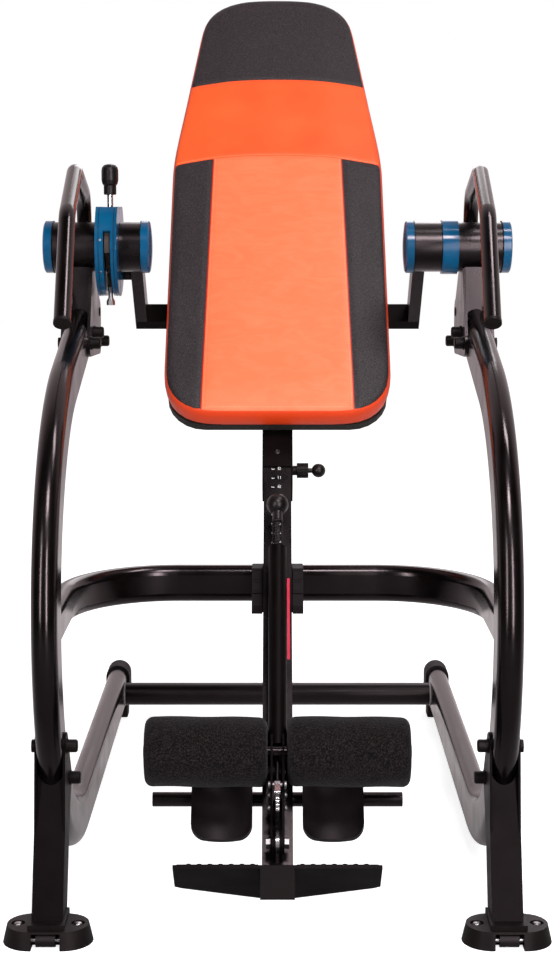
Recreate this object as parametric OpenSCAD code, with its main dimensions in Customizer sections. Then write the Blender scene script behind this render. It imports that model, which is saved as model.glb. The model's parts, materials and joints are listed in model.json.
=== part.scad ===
// Inversion table with hoop side frames, a tilting padded bed, a sliding boom,
// a ratchet ankle clamp and a band brake on the pivot.
// The origin is on the floor, straight below the pivot axis. X runs across the
// machine, Y runs to the back and Z runs up.

/* [Side hoops] */
// Distance between the centre planes of the two hoops
track_w = 660; // [640:2:680]
// Width of the flat-oval hoop tube, across the machine
hoop_w = 38; // [36:0.5:40]
// Height of the flat-oval hoop tube
hoop_h = 80; // [74:1:84]
// Wall of the hoop tube
hoop_t = 2.5; // [2:0.25:3]
// Centre-line radius of the front bend
hoop_r = 360; // [355:1:365]
// Distance from the pivot axis forward to the centre of the bend
bend_front = 170; // [165:1:175]
// Height of the floor runner above the floor
runner_gap = 25; // [22:1:28]
// Distance from the pivot axis back to the end of the runner
runner_back = 662; // [655:1:670]
// Slope of the straight length under the pivot, in degrees
top_slope = 15; // [14:0.5:16]
// Length of the straight length under the pivot
top_len = 303; // [298:1:308]

/* [Cross members] */
// Diameter of the rear cross tube
rear_bar_d = 45; // [38:1:50]
// Distance of the rear cross tube in front of the runner's end
rear_bar_in = 100; // [90:1:110]
// Thickness of the flat-oval rest bar
rest_w = 30; // [28:1:32]
// Height of the flat-oval rest bar
rest_h = 60; // [56:1:62]
// Height of the pivot axis above the rest bar's centre line
rest_drop = 540; // [536:1:544]
// Distance from the pivot axis forward to the rest bar
rest_front = 150; // [146:1:150]
// Centre-line radius of the rest bar's corners
rest_r = 170; // [150:5:190]
// Wall of the round, rest and handle tubes
tube_t = 2; // [1.5:0.25:2.5]
// Width of the rubber bumper on the rest bar
bumper_w = 82; // [74:2:90]

/* [Front posts and feet] */
// Depth of the post tube, front to back
post_d = 55; // [50:1:58]
// Lean of the posts, in degrees
post_lean = 21; // [20:0.5:22]
// Wall of the post tube and its ears
post_t = 3.5; // [3:0.25:4]
// Distance from the front of the bend's centre line forward to the post's foot
post_reach = 32; // [30:1:34]
// Length of a foot pad, across the machine
foot_l = 130; // [124:2:140]
// Width of a foot pad, front to back
foot_w = 85; // [83:1:88]
// Height of a foot pad
foot_h = 26; // [25:0.5:28]
// Diameter of a transport roller
wheel_d = 20; // [16:1:20]
// Width of a transport roller
wheel_w = 28; // [22:1:32]

/* [Pivot] */
// Height of the pivot axis above the centre line of the hoops' straight length
pivot_rise = 136.75; // [133:0.25:141]
// Outer diameter of the pivot sleeves
sleeve_d = 82; // [78:1:84]
// Wall of the pivot sleeves
sleeve_t = 4; // [3:0.5:5]
// Diameter of the pivot axles
axle_d = 20; // [16:1:22]
// Running clearance of a bore over its pin, on the radius
fit = 0.05; // [0.02:0.01:0.08]
// Distance from the hoop's centre plane out to the end of the stand's sleeve
sleeve_reach = 43; // [38:1:48]
// Distance from the hoop's centre plane in to the end of the swing arm's sleeve
sleeve_depth = 104; // [102:1:108]
// Thickness of the stand's side plates
plate_t = 5; // [4:0.5:6]

/* [Handles] */
// Diameter of the handle tubes
handle_d = 25; // [22:1:28]
// Distance from the pivot axis back to the handle's rear leg
handle_back = 82; // [80:1:86]
// Centre-line bend radius of the handles
handle_r = 55; // [45:5:60]
// Turn of the handles' front ends towards each other, in degrees
handle_toe = 2.4; // [0:0.2:3]

/* [Brake] */
// Radius of the brake caliper
caliper_r = 81; // [79:1:84]
// Radius of the brake drum
drum_r = 40; // [38:1:41]
// Width of the slot between the caliper flanges
slot_w = 12; // [11:0.5:13]
// Swing of the brake lever to each side, in degrees
lever_swing = 18; // [10:1:18]

/* [Bed] */
// Recline of the bed from upright at rest, in degrees
recline = 43; // [42.5:0.1:43.5]
// Length of the back pad
pad_l = 1008; // [980:2:1016]
// Width of the back pad
pad_w = 380; // [360:2:390]
// Width of the pad at the head end
head_w = 288; // [270:2:300]
// Rise of the arched head end of the pad
head_crown = 14; // [8:1:16]
// Thickness of the back pad
pad_t = 47; // [44:1:50]
// Distance from the pivot axis down the bed to the pad's foot end
pad_foot = 259; // [250:1:262]
// Distance from the pivot axis back to the front of the pad
pad_y = 110; // [108:0.5:112]
// Thickness of the board under the pad
board_t = 14; // [12:1:16]
// Side of the square spine tube
spine_w = 50; // [50:0.5:52]
// Gap between the boom and the spine's inner walls
slide_gap = 0.2; // [0.1:0.05:0.3]
// Height of the swing-arm tube, along the bed
arm_h = 40; // [36:1:44]
// Thickness of the swing-arm tube
arm_w = 20; // [18:1:22]

/* [Boom] */
// Side of the square boom tube
boom_w = 45; // [44:0.25:45.25]
// Distance from the pivot axis to the lower end of the boom
boom_end = 1050; // [1046:1:1052]
// Pitch of the height holes
hole_pitch = 18; // [16:0.5:20]
// Number of height holes below the pin
holes_below = 7; // [5:1:9]
// Width of the foot plate
plate_w = 294; // [280:2:310]
// Diameter of the heel bar
heel_bar_d = 22; // [20:0.5:22]
// Length of the heel bar
heel_bar_l = 374; // [360:2:390]
// Width of a heel cradle
cradle_w = 90; // [84:2:94]
// Height of a heel cradle
cradle_h = 100; // [96:2:110]

/* [Ankle clamp] */
// Diameter of a foam roller
foam_d = 103; // [96:1:104]
// Length of a foam roller
foam_l = 178; // [160:2:180]
// Diameter of the roller axle
roller_axle_d = 16; // [14:0.5:16]
// Diameter of the long clamp lever
lever_d = 28; // [26:0.5:28]
// Radius of the ratchet sector
sector_r = 75; // [74:0.25:75.5]
// Angle between ratchet notches, in degrees
notch_step = 6; // [6:0.25:7]
// Number of notch steps that the clamp opens
notch_steps = 4; // [3:1:4]
// Diameter of the ball knob on the release rod
ball_d = 35; // [30:1:38]

/* [Hidden] */
$fn = 48;
side_x = track_w / 2;
hoop_y = -bend_front;
hoop_z = runner_gap + hoop_h / 2 + hoop_r;
runner_z = runner_gap + hoop_h / 2;
top_a = 90 + top_slope;
top_s = (bend_front - hoop_r * cos(top_a)) / cos(top_slope);
pivot_z = hoop_z + hoop_r * sin(top_a) + top_s * sin(top_slope) + pivot_rise;
rest_z = pivot_z - rest_drop;
post_front = bend_front + hoop_r + post_reach;
rear_bar_y = runner_back - rear_bar_in;
shoe_t = 5;
shoe_len = 50;
bolt_d = 8;
bolt_hole = bolt_d + 0.4;
seat = 0.3;
hairline = 0.01;
// bed frame: y is the distance behind the pivot axis, z runs to the head
board_y = pad_y + pad_t;
strap_t = 4;
strap_y = board_y + board_t;
spine_y = strap_y + strap_t + spine_w / 2;
spine_in = boom_w + 2 * slide_gap;
spine_foot = -360;
spine_head = 330;
sleeve_in = side_x - sleeve_depth;
arm_x = sleeve_in + 12;
arm_z = 12;
cross_y = 195;
cross_t = 20;
pin_z = -315;
pin_r = 4;
barrel_end = spine_w / 2 + 26;
boom_y = spine_y;
boom_front = boom_y - boom_w / 2;
boom_back = boom_y + boom_w / 2;
boom_head = -60;
stub_w = 48;
stub_front = boom_front - 61.5;
heel_y = boom_back + heel_bar_d / 2 + 2.5;
heel_z = -891;
cradle_x = 82;
clamp_y = boom_front - 27.5;
clamp_z = -1000;
lever_y = clamp_y - 14;
lever_top = -509;
lever_foot = -855;
axle_y = clamp_y - 28;
axle_z = -869;
yoke_in = 7;
yoke_t = 3;
bracket_t = 4;
sector_t = 5;
pawl_y = clamp_y - 41.5;
pawl_z = clamp_z + 72;
tooth_a = 138;
rod_r = 3;
rod_foot = clamp_z + 83.3;
neck_z = -458;
neck_r = 8;
ball_z = neck_z + 32;
// pivot stations, as distances from the centre plane
stand_in = side_x - 31;
sleeve_out = side_x + sleeve_reach;
bed_sleeve_end = [side_x - 68.5, side_x - 58.5];
slot_in = side_x - 58;
slot_out = slot_in + slot_w;
caliper_in = slot_in - 10;
caliper_out = slot_out + 13.5;
flat_z = 66;
lever_pivot_z = drum_r + 15.5;
sleeve_bore = sleeve_d / 2 - sleeve_t;

// ---- frames of reference ------------------------------------------------

// Side view drawing plane: drawing x is Y, drawing y is Z, height is X
module side_view() { rotate([90, 0, 90]) children(); }

// The bed's own frame, with the pivot axis as its origin
module on_bed() { translate([0, 0, pivot_z]) rotate([-recline, 0, 0]) children(); }

// A rod along X, from x0 to x1, in the current frame
module rod_x(x0, x1, r, y = 0, z = 0, fn = 48) {
    translate([x0, y, z]) rotate([0, 90, 0]) cylinder(r = r, h = x1 - x0, $fn = fn);
}

// Point on the centre line of the straight under the pivot
function top_point(s) = [hoop_y + hoop_r * cos(top_a) + s * cos(top_slope),
    hoop_z + hoop_r * sin(top_a) + s * sin(top_slope)];

// Point on the centre line of the front bend
function bend_point(a) = [hoop_y + hoop_r * cos(a), hoop_z + hoop_r * sin(a)];

stand_bolts = [top_point(200), top_point(256)];
handle_bolts = [[handle_back, pivot_z - 162], [handle_back, pivot_z - 112]];
post_bolts = [bend_point(206), bend_point(217)];

// ---- shared shapes ------------------------------------------------------

// Flat oval, long side along x
module oval(l, w) {
    square([l - w, w], center = true);
    for (s = [-1, 1]) translate([s * (l - w) / 2, 0]) circle(d = w);
}

module oval_ring(l, w, t) {
    difference() { oval(l, w); oval(l - 2 * t, w - 2 * t); }
}

module box_ring(w, d, t) {
    difference() {
        square([w, d], center = true);
        square([w - 2 * t, d - 2 * t], center = true);
    }
}

// Rectangle from its near corner, rounded at its four corners
module round_rect(l, w, r) {
    translate([r, 0]) square([l - 2 * r, w]);
    translate([0, r]) square([l, w - 2 * r]);
    for (x = [r, l - r], y = [r, w - r]) translate([x, y]) circle(r);
}

// Sweep of an oval section along the hoop's centre line, in the side view
module hoop_sweep(more = 0) {
    translate([hoop_y, hoop_z, 0]) {
        rotate_extrude(angle = 270 - top_a, start = top_a, $fn = 160)
            translate([hoop_r, 0]) children();
        rotate([0, 0, top_a]) translate([hoop_r, 0, 0]) rotate([90, 0, 0])
            linear_extrude(top_len + more) children();
        translate([0, -hoop_r, 0]) rotate([0, 90, 0]) rotate([0, 0, 90])
            linear_extrude(runner_back - hoop_y) children();
    }
}

module hoop_solid(extra = 0, more = 0) {
    translate([side_x, 0, 0]) side_view() hoop_sweep(more) oval(hoop_h + 2 * extra, hoop_w);
}

// A bent tube through the points of a side view drawing
module bent_tube(pts, bend, d, t) {
    n = len(pts);
    a = [for (i = [0:n - 2]) atan2(pts[i + 1][1] - pts[i][1], pts[i + 1][0] - pts[i][0])];
    turn = [for (i = [0:n - 3]) let (b = a[i + 1] - a[i]) b > 180 ? b - 360 : b < -180 ? b + 360 : b];
    cut = [for (i = [0:n - 1]) (i == 0 || i == n - 1) ? 0 : bend * tan(abs(turn[i - 1]) / 2)];
    runs = [for (i = [0:n - 2]) norm(pts[i + 1] - pts[i]) - cut[i] - cut[i + 1]];
    translate([pts[0][0], pts[0][1], 0]) rotate([0, 0, a[0]]) tube_chain(runs, turn, bend, d, t);
}

// One straight run and one bend, then the rest of the tube in the frame of the bend's end.
// A hairline at each end of a run keeps the runs and the bends as separate solids.
module tube_chain(runs, turns, bend, d, t, i = 0) {
    translate([hairline, 0, 0]) rotate([0, 90, 0]) linear_extrude(runs[i] - 2 * hairline)
        tube_ring(d, t);
    if (i < len(turns)) translate([runs[i], 0, 0]) {
        s = turns[i] > 0 ? 1 : -1;
        translate([0, s * bend, 0]) {
            rotate_extrude(angle = abs(turns[i]), start = s > 0 ? -90 : 90 - abs(turns[i]),
                $fn = 96) translate([bend, 0]) tube_ring(d, t);
            rotate([0, 0, turns[i]]) translate([0, -s * bend, 0])
                tube_chain(runs, turns, bend, d, t, i + 1);
        }
    }
}

module tube_ring(d, t) {
    difference() { circle(d = d); circle(d = d - 2 * t); }
}

// Bolt through a pair of plates: a shank with a capped nut and a low head
module capped_bolt(x_in, x_out, y, z) {
    rod_x(x_in, x_out, bolt_d / 2, y, z);
    rod_x(x_in - 2, x_in, 11, y, z);
    rod_x(x_in - 14, x_in - 2, 9.5, y, z);
    translate([x_in - 16, y, z]) rotate([0, 90, 0]) cylinder(r1 = 7.5, r2 = 9.5, h = 2);
    rod_x(x_out, x_out + 6, 9.5, y, z);
}

// Rivet with two low domed heads
module low_rivet(x_in, x_out, y, z) {
    rod_x(x_in, x_out, bolt_d / 2, y, z);
    for (x = [x_in - 1.5, x_out]) rod_x(x, x + 1.5, 7.5, y, z);
}

// Both sides of the machine
module both_sides() { children(); mirror([1, 0, 0]) children(); }
module on_left() { mirror([1, 0, 0]) children(); }

// ---- side frames --------------------------------------------------------

module hoop() {
    color("#161618") difference() {
        translate([side_x, 0, 0]) side_view() hoop_sweep() oval_ring(hoop_h, hoop_w, hoop_t);
        for (p = concat(stand_bolts, post_bolts))
            rod_x(side_x - hoop_w, side_x + hoop_w, bolt_hole / 2, p[0], p[1], 24);
    }
}
module hoop_left() { on_left() hoop(); }
module hoop_right() { hoop(); }

// Rubber shoe over the runner's end, with a foot block below it
module rear_shoe() {
    color("#1b1b1d") difference() {
        union() {
            translate([side_x, runner_back - shoe_len + shoe_t, runner_z]) rotate([-90, 90, 0])
                linear_extrude(shoe_len) oval(hoop_h + 2 * shoe_t, hoop_w + 2 * shoe_t);
            translate([side_x - hoop_w / 2, runner_back - shoe_len + shoe_t, 0])
                linear_extrude(runner_gap + hoop_w / 2) round_rect(hoop_w, shoe_len, 6);
        }
        translate([side_x, runner_back, runner_z]) rotate([90, 90, 0])
            linear_extrude(shoe_len) oval(hoop_h, hoop_w);
    }
}
module rear_shoes() { both_sides() rear_shoe(); }

module rear_crossbar() {
    half = side_x - hoop_w / 2;
    color("#1a1a1c") translate([-half, rear_bar_y, runner_z]) rotate([0, 90, 0])
        linear_extrude(2 * half) tube_ring(rear_bar_d, tube_t);
}

// Leg of the rest bar ends on the rear edge of the hoop's bend
rest_leg_y = hoop_y - sqrt(pow(hoop_r - hoop_h / 2, 2) - pow(hoop_z - rest_z, 2));

module rest_section() { oval_ring(rest_h, rest_w, tube_t); }

module rest_half() {
    flat = side_x - rest_r;
    translate([0, 0, 0]) rotate([0, 90, 0]) linear_extrude(flat) rest_section();
    translate([flat, -rest_r, 0]) rotate_extrude(angle = 90, $fn = 96)
        translate([rest_r, 0]) rotate(90) rest_section();
    translate([side_x, -rest_r, 0]) rotate([90, 0, 0])
        linear_extrude(-rest_front - rest_r - rest_leg_y + 22) rotate(90) rest_section();
}

module rest_bar() {
    color("#161618") difference() {
        translate([0, -rest_front, rest_z]) both_sides() rest_half();
        both_sides() hoop_solid();
    }
}

// One slice of the rubber saddle between two planes of the bed frame
module saddle_slice(x0, x1, y0, y1) {
    intersection() {
        difference() {
            translate([x0, -rest_front - 90, rest_z - rest_h / 2 - 2])
                cube([x1 - x0, 90, rest_h + 4]);
            translate([-bumper_w, -rest_front, rest_z]) rotate([0, 90, 0])
                linear_extrude(2 * bumper_w) oval(rest_h, rest_w);
        }
        on_bed() translate([-bumper_w, y0, -900]) cube([2 * bumper_w, y1 - y0, 900]);
    }
}

// Rubber saddle: a wedge behind the boom and a cheek on each side of it. A hairline
// keeps the three apart, so each is a plain solid.
module rest_bumper() {
    cheek = boom_w / 2 + 1.5;
    back = boom_back + 0.5;
    color("#202022") {
        saddle_slice(-bumper_w / 2, bumper_w / 2, back, back + 200);
        for (s = [0, 1]) mirror([s, 0, 0])
            saddle_slice(cheek, bumper_w / 2, back - 17.5, back - hairline);
    }
}

// ---- front posts --------------------------------------------------------

module on_post() {
    translate([side_x, -post_front, 0]) rotate([-post_lean, 0, 0]) children();
}

post_w = hoop_w + 2 * post_t;
post_low = 16;

module post_outer(h) {
    on_post() translate([-post_w / 2, -post_d / 2, post_low]) cube([post_w, post_d, h]);
}

// Where a side view point lies in the post's own frame
function in_post(p) = let (y = p[0] + post_front)
    [y * cos(post_lean) - p[1] * sin(post_lean), y * sin(post_lean) + p[1] * cos(post_lean)];

module ear_outline() {
    for (p = post_bolts) translate(in_post(p)) circle(20);
    a = in_post(post_bolts[0]);
    b = in_post(post_bolts[1]);
    polygon([[-post_d / 2, 150], [post_d / 2, 150], [b[0] + 20, b[1]], b + [14, 14],
        a + [14, 14], a + [-14, 14], a - [20, 0]]);
}

module post() {
    color("#17171a") difference() {
        union() {
            difference() {
                post_outer(222);
                on_post() translate([-hoop_w / 2, -post_d / 2 + post_t, 0])
                    cube([hoop_w, post_d - 2 * post_t, 400]);
                hoop_solid(seat);
            }
            for (s = [-1, 1]) on_post() translate([s * (hoop_w + post_t) / 2 - post_t / 2, 0, 0])
                rotate([90, 0, 90]) linear_extrude(post_t) ear_outline();
        }
        for (p = post_bolts)
            rod_x(side_x - post_w, side_x + post_w, bolt_hole / 2, p[0], p[1], 24);
    }
}
module post_left() { on_left() post(); }
module post_right() { post(); }

foot_y = -post_front - 4.5;
foot_taper = 6;
wheel_y = foot_y - foot_w / 2 + 13;
wheel_z = wheel_d / 2 + 2;
notch_w = wheel_w + 13;
wheel_pin_r = 3;

// Tapered pad with a socket for the post and a notch for its transport roller
module foot_pad() {
    r = foot_w / 2;
    straight = foot_l - foot_w;
    color("#1c1c1e") difference() {
        union() {
            for (s = [-1, 1]) translate([side_x + s * straight / 2, foot_y, 0])
                cylinder(r1 = r, r2 = r - foot_taper, h = foot_h, $fn = 64);
            translate([side_x - straight / 2, foot_y, 0]) rotate([90, 0, 90])
                linear_extrude(straight)
                polygon([[-r, 0], [r, 0], [r - foot_taper, foot_h], [foot_taper - r, foot_h]]);
            translate([side_x - post_w / 2 - 4, -post_front - post_d / 2 - 6, 0])
                cube([post_w + 8, post_d + 16, foot_h + 7]);
        }
        post_outer(60);
        translate([side_x - notch_w / 2, foot_y - r - 1, -1])
            cube([notch_w, wheel_d / 2 + 15, foot_h - 2]);
        rod_x(side_x - notch_w / 2 - 9, side_x + notch_w / 2 + 9, wheel_pin_r, wheel_y, wheel_z);
        for (s = [-1, 1]) translate([side_x + s * (foot_l / 2 - 22), foot_y, foot_h - 3])
            cylinder(d = 20, h = 4);
    }
}
module foot_pads() { both_sides() foot_pad(); }

module roller_pins() {
    color("#b8b8bc") both_sides()
        rod_x(side_x - notch_w / 2 - 9, side_x + notch_w / 2 + 9, wheel_pin_r, wheel_y, wheel_z);
}

module transport_roller() {
    color("#2a2a2c") difference() {
        rod_x(side_x - wheel_w / 2, side_x + wheel_w / 2, wheel_d / 2, wheel_y, wheel_z);
        rod_x(side_x - wheel_w, side_x + wheel_w, wheel_pin_r + fit, wheel_y, wheel_z);
    }
}
module transport_roller_left() { on_left() transport_roller(); }
module transport_roller_right() { transport_roller(); }

// ---- pivot stands -------------------------------------------------------

web_in = side_x - 5;
web_t = 16;

module stand_outline() {
    for (p = concat(stand_bolts, handle_bolts)) translate(p) circle(22);
    c = stand_bolts[0];
    b = handle_bolts[0];
    u = handle_bolts[1];
    polygon([c - [4, 22], b - [0, 22], b + [22, 0], u + [22, 0], [30, pivot_z - 34],
        [-30, pivot_z - 34], c + [-18, 13]]);
}

// Sleeve, upright and two side plates, welded into one piece
module pivot_stand() {
    gap = hoop_w / 2;
    boss = (hoop_w - handle_d) / 2 - 0.2;
    color("#151517") difference() {
        union() {
            rod_x(stand_in, sleeve_out, sleeve_d / 2, 0, pivot_z, 96);
            for (x = [side_x - gap - plate_t, side_x + gap]) translate([x, 0, 0])
                side_view() linear_extrude(plate_t) stand_outline();
            difference() {
                translate([side_x - gap, -25, stand_bolts[1][1]])
                    cube([30, 50, pivot_z - 30 - stand_bolts[1][1]]);
                hoop_solid(seat, 5);
            }
            for (p = handle_bolts, x = [side_x - gap, side_x + gap - boss])
                rod_x(x, x + boss, 10, p[0], p[1]);
        }
        difference() {
            rod_x(stand_in - 1, sleeve_out + 1, sleeve_bore, 0, pivot_z, 96);
            rod_x(web_in, web_in + web_t, sleeve_d / 2, 0, pivot_z, 96);
        }
        rod_x(stand_in, sleeve_out, axle_d / 2 + fit, 0, pivot_z);
        for (p = concat(stand_bolts, handle_bolts))
            rod_x(side_x - 40, side_x + 40, bolt_hole / 2, p[0], p[1], 24);
    }
}
module pivot_stand_left() { on_left() pivot_stand(); }
module pivot_stand_right() { pivot_stand(); }

module frame_bolts() {
    x_plate = hoop_w / 2 + plate_t;
    x_post = post_w / 2;
    color("#202023") both_sides() {
        for (p = concat(stand_bolts, [handle_bolts[0]]))
            capped_bolt(side_x - x_plate, side_x + x_plate, p[0], p[1]);
        low_rivet(side_x - x_plate, side_x + x_plate, handle_bolts[1][0], handle_bolts[1][1]);
        for (p = post_bolts) capped_bolt(side_x - x_post, side_x + x_post, p[0], p[1]);
    }
}

// Fixed axle with a collar behind the stand's web
module pivot_axles() {
    color("#c9c9cc") both_sides() {
        rod_x(sleeve_in - 14, web_in + web_t + 12, axle_d / 2, 0, pivot_z);
        rod_x(web_in + web_t, web_in + web_t + 8, axle_d / 2 + 6, 0, pivot_z, 6);
    }
}

// Domed cap with a rim over the sleeve's end and a plug inside it
module sleeve_cap(x, dir) {
    rim = sleeve_d / 2 + 2;
    dome = 8 * rim;
    translate([x, 0, pivot_z]) rotate([0, dir * 90, 0]) {
        cylinder(r = rim, h = 12, $fn = 96);
        translate([0, 0, 12]) cylinder(r1 = rim, r2 = rim - 3, h = 2, $fn = 96);
        translate([0, 0, 14]) rotate_extrude($fn = 96)
            polygon(concat([[0, 0]], [for (k = [6:-1:0]) [(rim - 3) * k / 6,
                3 * (1 - pow(k / 6, 2))]]));
        translate([0, 0, -9]) difference() {
            cylinder(r = sleeve_bore, h = 9, $fn = 96);
            translate([0, 0, -1]) cylinder(r = sleeve_bore - 3, h = 9, $fn = 96);
        }
    }
}
module outer_caps() { color("#1d5f8f") both_sides() sleeve_cap(sleeve_out, 1); }
module inner_caps() {
    color("#1d5f8f") both_sides() difference() {
        sleeve_cap(sleeve_in, -1);
        rod_x(sleeve_in - 15, sleeve_in + 10, axle_d / 2 + 1, 0, pivot_z);
    }
}

// ---- handles ------------------------------------------------------------

handle_foot = handle_bolts[0][1] - 20;
handle_line = [[handle_back, handle_foot], [handle_back, pivot_z + 84],
    [-140, pivot_z + 122], [-332, pivot_z + 54], [-466, pivot_z - 96]];

// Side view turned in about the handle's upright rear leg
module handle_plane() {
    translate([side_x, handle_back, 0]) rotate([0, 0, -handle_toe])
        translate([0, -handle_back, 0]) side_view() children();
}

module handle() {
    color("#1a1a1c") difference() {
        handle_plane() bent_tube(handle_line, handle_r, handle_d, tube_t);
        for (p = handle_bolts)
            rod_x(side_x - 40, side_x + 40, bolt_hole / 2, p[0], p[1], 24);
    }
}
module handle_left() { on_left() handle(); }
module handle_right() { handle(); }

// Push-in end plugs of the hoops and the handles
module tube_plugs() {
    top = top_point(top_len);
    n = len(handle_line);
    a = atan2(handle_line[n - 1][1] - handle_line[n - 2][1],
        handle_line[n - 1][0] - handle_line[n - 2][0]);
    color("#101012") both_sides() {
        translate([side_x, 0, 0]) side_view() translate([top[0], top[1], 0])
            rotate([0, 0, top_slope]) rotate([90, 0, 90]) {
                linear_extrude(4) oval(hoop_h, hoop_w);
                translate([0, 0, -16]) linear_extrude(16)
                    oval_ring(hoop_h - 2 * hoop_t, hoop_w - 2 * hoop_t, 3);
            }
        handle_plane() {
            translate([handle_line[n - 1][0], handle_line[n - 1][1], 0]) rotate([0, 0, a])
                round_plug();
            translate([handle_back, handle_foot, 0]) rotate([0, 0, -90]) round_plug();
        }
    }
}

module round_plug() {
    rotate([0, 90, 0]) {
        cylinder(d = handle_d + 1, h = 5);
        translate([0, 0, -6]) cylinder(d = handle_d - 2 * tube_t, h = 6);
    }
}

// ---- brake on the left pivot --------------------------------------------

// Drum fixed to the left stand; the band closes on its rim
module brake_drum() {
    color("#3a3a3d") on_left() difference() {
        union() {
            rod_x(slot_in + 0.5, slot_out - 0.5, drum_r, 0, pivot_z, 96);
            rod_x(slot_out - 0.5, web_in, drum_r - 11, 0, pivot_z, 96);
        }
        rod_x(slot_in, web_in + 1, axle_d / 2 + fit, 0, pivot_z);
    }
}

module spacer_ring() {
    rim = sleeve_d / 2 + 4;
    color("#1d5f8f") difference() {
        rod_x(bed_sleeve_end[1] + 1, stand_in, rim, 0, pivot_z, 96);
        rod_x(bed_sleeve_end[1] + 7, stand_in + 1, rim - 10, 0, pivot_z, 96);
        rod_x(bed_sleeve_end[1], stand_in, axle_d / 2 + fit, 0, pivot_z);
    }
}

module flange(x0, x1, bore) {
    difference() {
        rod_x(x0, x1, caliper_r, 0, pivot_z, 128);
        rod_x(x0 - 1, x1 + 1, bore, 0, pivot_z);
        flat_cut();
    }
}

module flat_cut() {
    translate([0, -100, pivot_z + flat_z]) cube([400, 200, 40]);
}

// Rim wall that closes the slot over the top, from one face of the slot
module bridge() {
    difference() {
        translate([slot_in, 0, pivot_z]) rotate([90, 0, 90])
            rotate_extrude(angle = 140, start = 20, $fn = 128)
            translate([caliper_r - 17, 0]) square([17, slot_w]);
        flat_cut();
        translate([slot_in - 1, -12, pivot_z + 50]) cube([slot_w + 2, 24, 40]);
    }
}

lever_pin_r = 3;

module caliper_outer() {
    color("#1f6a9c") on_left() difference() {
        union() { flange(slot_out, caliper_out, drum_r - 10); bridge(); }
        rod_x(slot_out - 1, caliper_out - 5, lever_pin_r + 0.1, 0, pivot_z + lever_pivot_z, 24);
    }
}

torque_y = 72;
torque_r = 5.5;

// Inner half, with the reaction stud that bears on the swing arm
module caliper_inner() {
    color("#1f6a9c") on_left() union() {
        difference() {
            flange(caliper_in, slot_in, axle_d / 2 + fit);
            rod_x(caliper_in + 5, slot_in + 1, lever_pin_r + 0.1, 0, pivot_z + lever_pivot_z, 24);
        }
        on_bed() rod_x(arm_x + arm_w / 2, caliper_in, torque_r, torque_y, 0);
    }
}

lug_y = -12;

// Steel band with its lining and the lug that the tension bolt pulls
module brake_band() {
    clear = 0.3;
    band_t = 6;
    color("#6b5547") on_left() difference() {
        union() {
            translate([slot_in + 1, 0, pivot_z]) rotate([90, 0, 90])
                rotate_extrude(angle = 190, start = 72, $fn = 96)
                translate([drum_r + clear, 0]) square([band_t, slot_w - 2]);
            translate([slot_in + 1, lug_y - 8, pivot_z - drum_r - 26])
                cube([slot_w - 2, 16, 24]);
        }
        rod_x(slot_in - 1, slot_out + 1, drum_r + clear, 0, pivot_z, 96);
        translate([(slot_in + slot_out) / 2, lug_y, pivot_z - drum_r - 40])
            cylinder(d = 8, h = 36, $fn = 24);
    }
}

// Tension bolt below the slot, and the pin that the lever turns on
module brake_bolts() {
    mid = (slot_in + slot_out) / 2;
    foot = pivot_z - caliper_r - 15;
    color("#c9c9cc") on_left() {
        translate([mid, lug_y, foot]) cylinder(d = 14, h = 8, $fn = 6);
        translate([mid, lug_y, foot + 8])
            cylinder(d = 8, h = pivot_z - drum_r - 10 - foot - 8, $fn = 24);
        translate([mid, lug_y, foot + 8]) cylinder(d = 11, h = 3, $fn = 32);
        translate([mid, lug_y, pivot_z - drum_r - 32]) cylinder(d = 11, h = 6, $fn = 32);
        rod_x(caliper_in + 5, caliper_out - 5, lever_pin_r, 0, pivot_z + lever_pivot_z, 24);
    }
}

module brake_lever() {
    mid = (slot_in + slot_out) / 2;
    color("#d4d4d8") on_left() difference() {
        union() {
            rod_x(slot_in + 0.4, slot_out - 0.4, 7.8, 0, pivot_z + lever_pivot_z);
            translate([mid, 0, pivot_z + lever_pivot_z]) cylinder(d = stem_d, h = 44, $fn = 32);
        }
        rod_x(slot_in, slot_out, lever_pin_r + fit, 0, pivot_z + lever_pivot_z, 24);
    }
}

stem_d = slot_w - 2;
knob_foot = pivot_z + caliper_r + 5;

// Two-step knob pushed over the lever's stem
module brake_knob() {
    mid = (slot_in + slot_out) / 2;
    stem = pivot_z + lever_pivot_z + 44 - knob_foot;
    color("#141416") on_left() translate([mid, 0, knob_foot]) difference() {
        rotate_extrude($fn = 48) polygon([[0, 0], [9.2, 0], [10.4, 1.5], [10.4, 15], [12.6, 18],
            [14, 24], [14, 40], [12.8, 45], [9.5, 48.6], [5, 50], [0, 50.5]]);
        translate([0, 0, -1]) cylinder(d = stem_d, h = stem + 1, $fn = 32);
    }
}

// ---- bed frame ----------------------------------------------------------

module swing_arm(end) {
    foot = cross_y - cross_t / 2;
    color("#151517") on_bed() difference() {
        union() {
            rod_x(sleeve_in, end, sleeve_d / 2, 0, 0, 96);
            translate([arm_x - arm_w / 2, 20, arm_z - arm_h / 2]) cube([arm_w, foot - 20, arm_h]);
        }
        translate([arm_x - arm_w / 2 + tube_t, sleeve_d / 2, arm_z - arm_h / 2 + tube_t])
            cube([arm_w - 2 * tube_t, foot, arm_h - 2 * tube_t]);
        difference() {
            rod_x(sleeve_in - 1, end + 1, sleeve_bore, 0, 0, 96);
            rod_x(sleeve_in + 10, end - 4, sleeve_d / 2 + 1, 0, 0, 96);
        }
        rod_x(sleeve_in, end + 1, bush_r + 0.02, 0, 0);
    }
}
module swing_arm_left() { on_left() swing_arm(bed_sleeve_end[0]); }
module swing_arm_right() { swing_arm(bed_sleeve_end[1]); }

bush_r = axle_d / 2 + 5;

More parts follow.
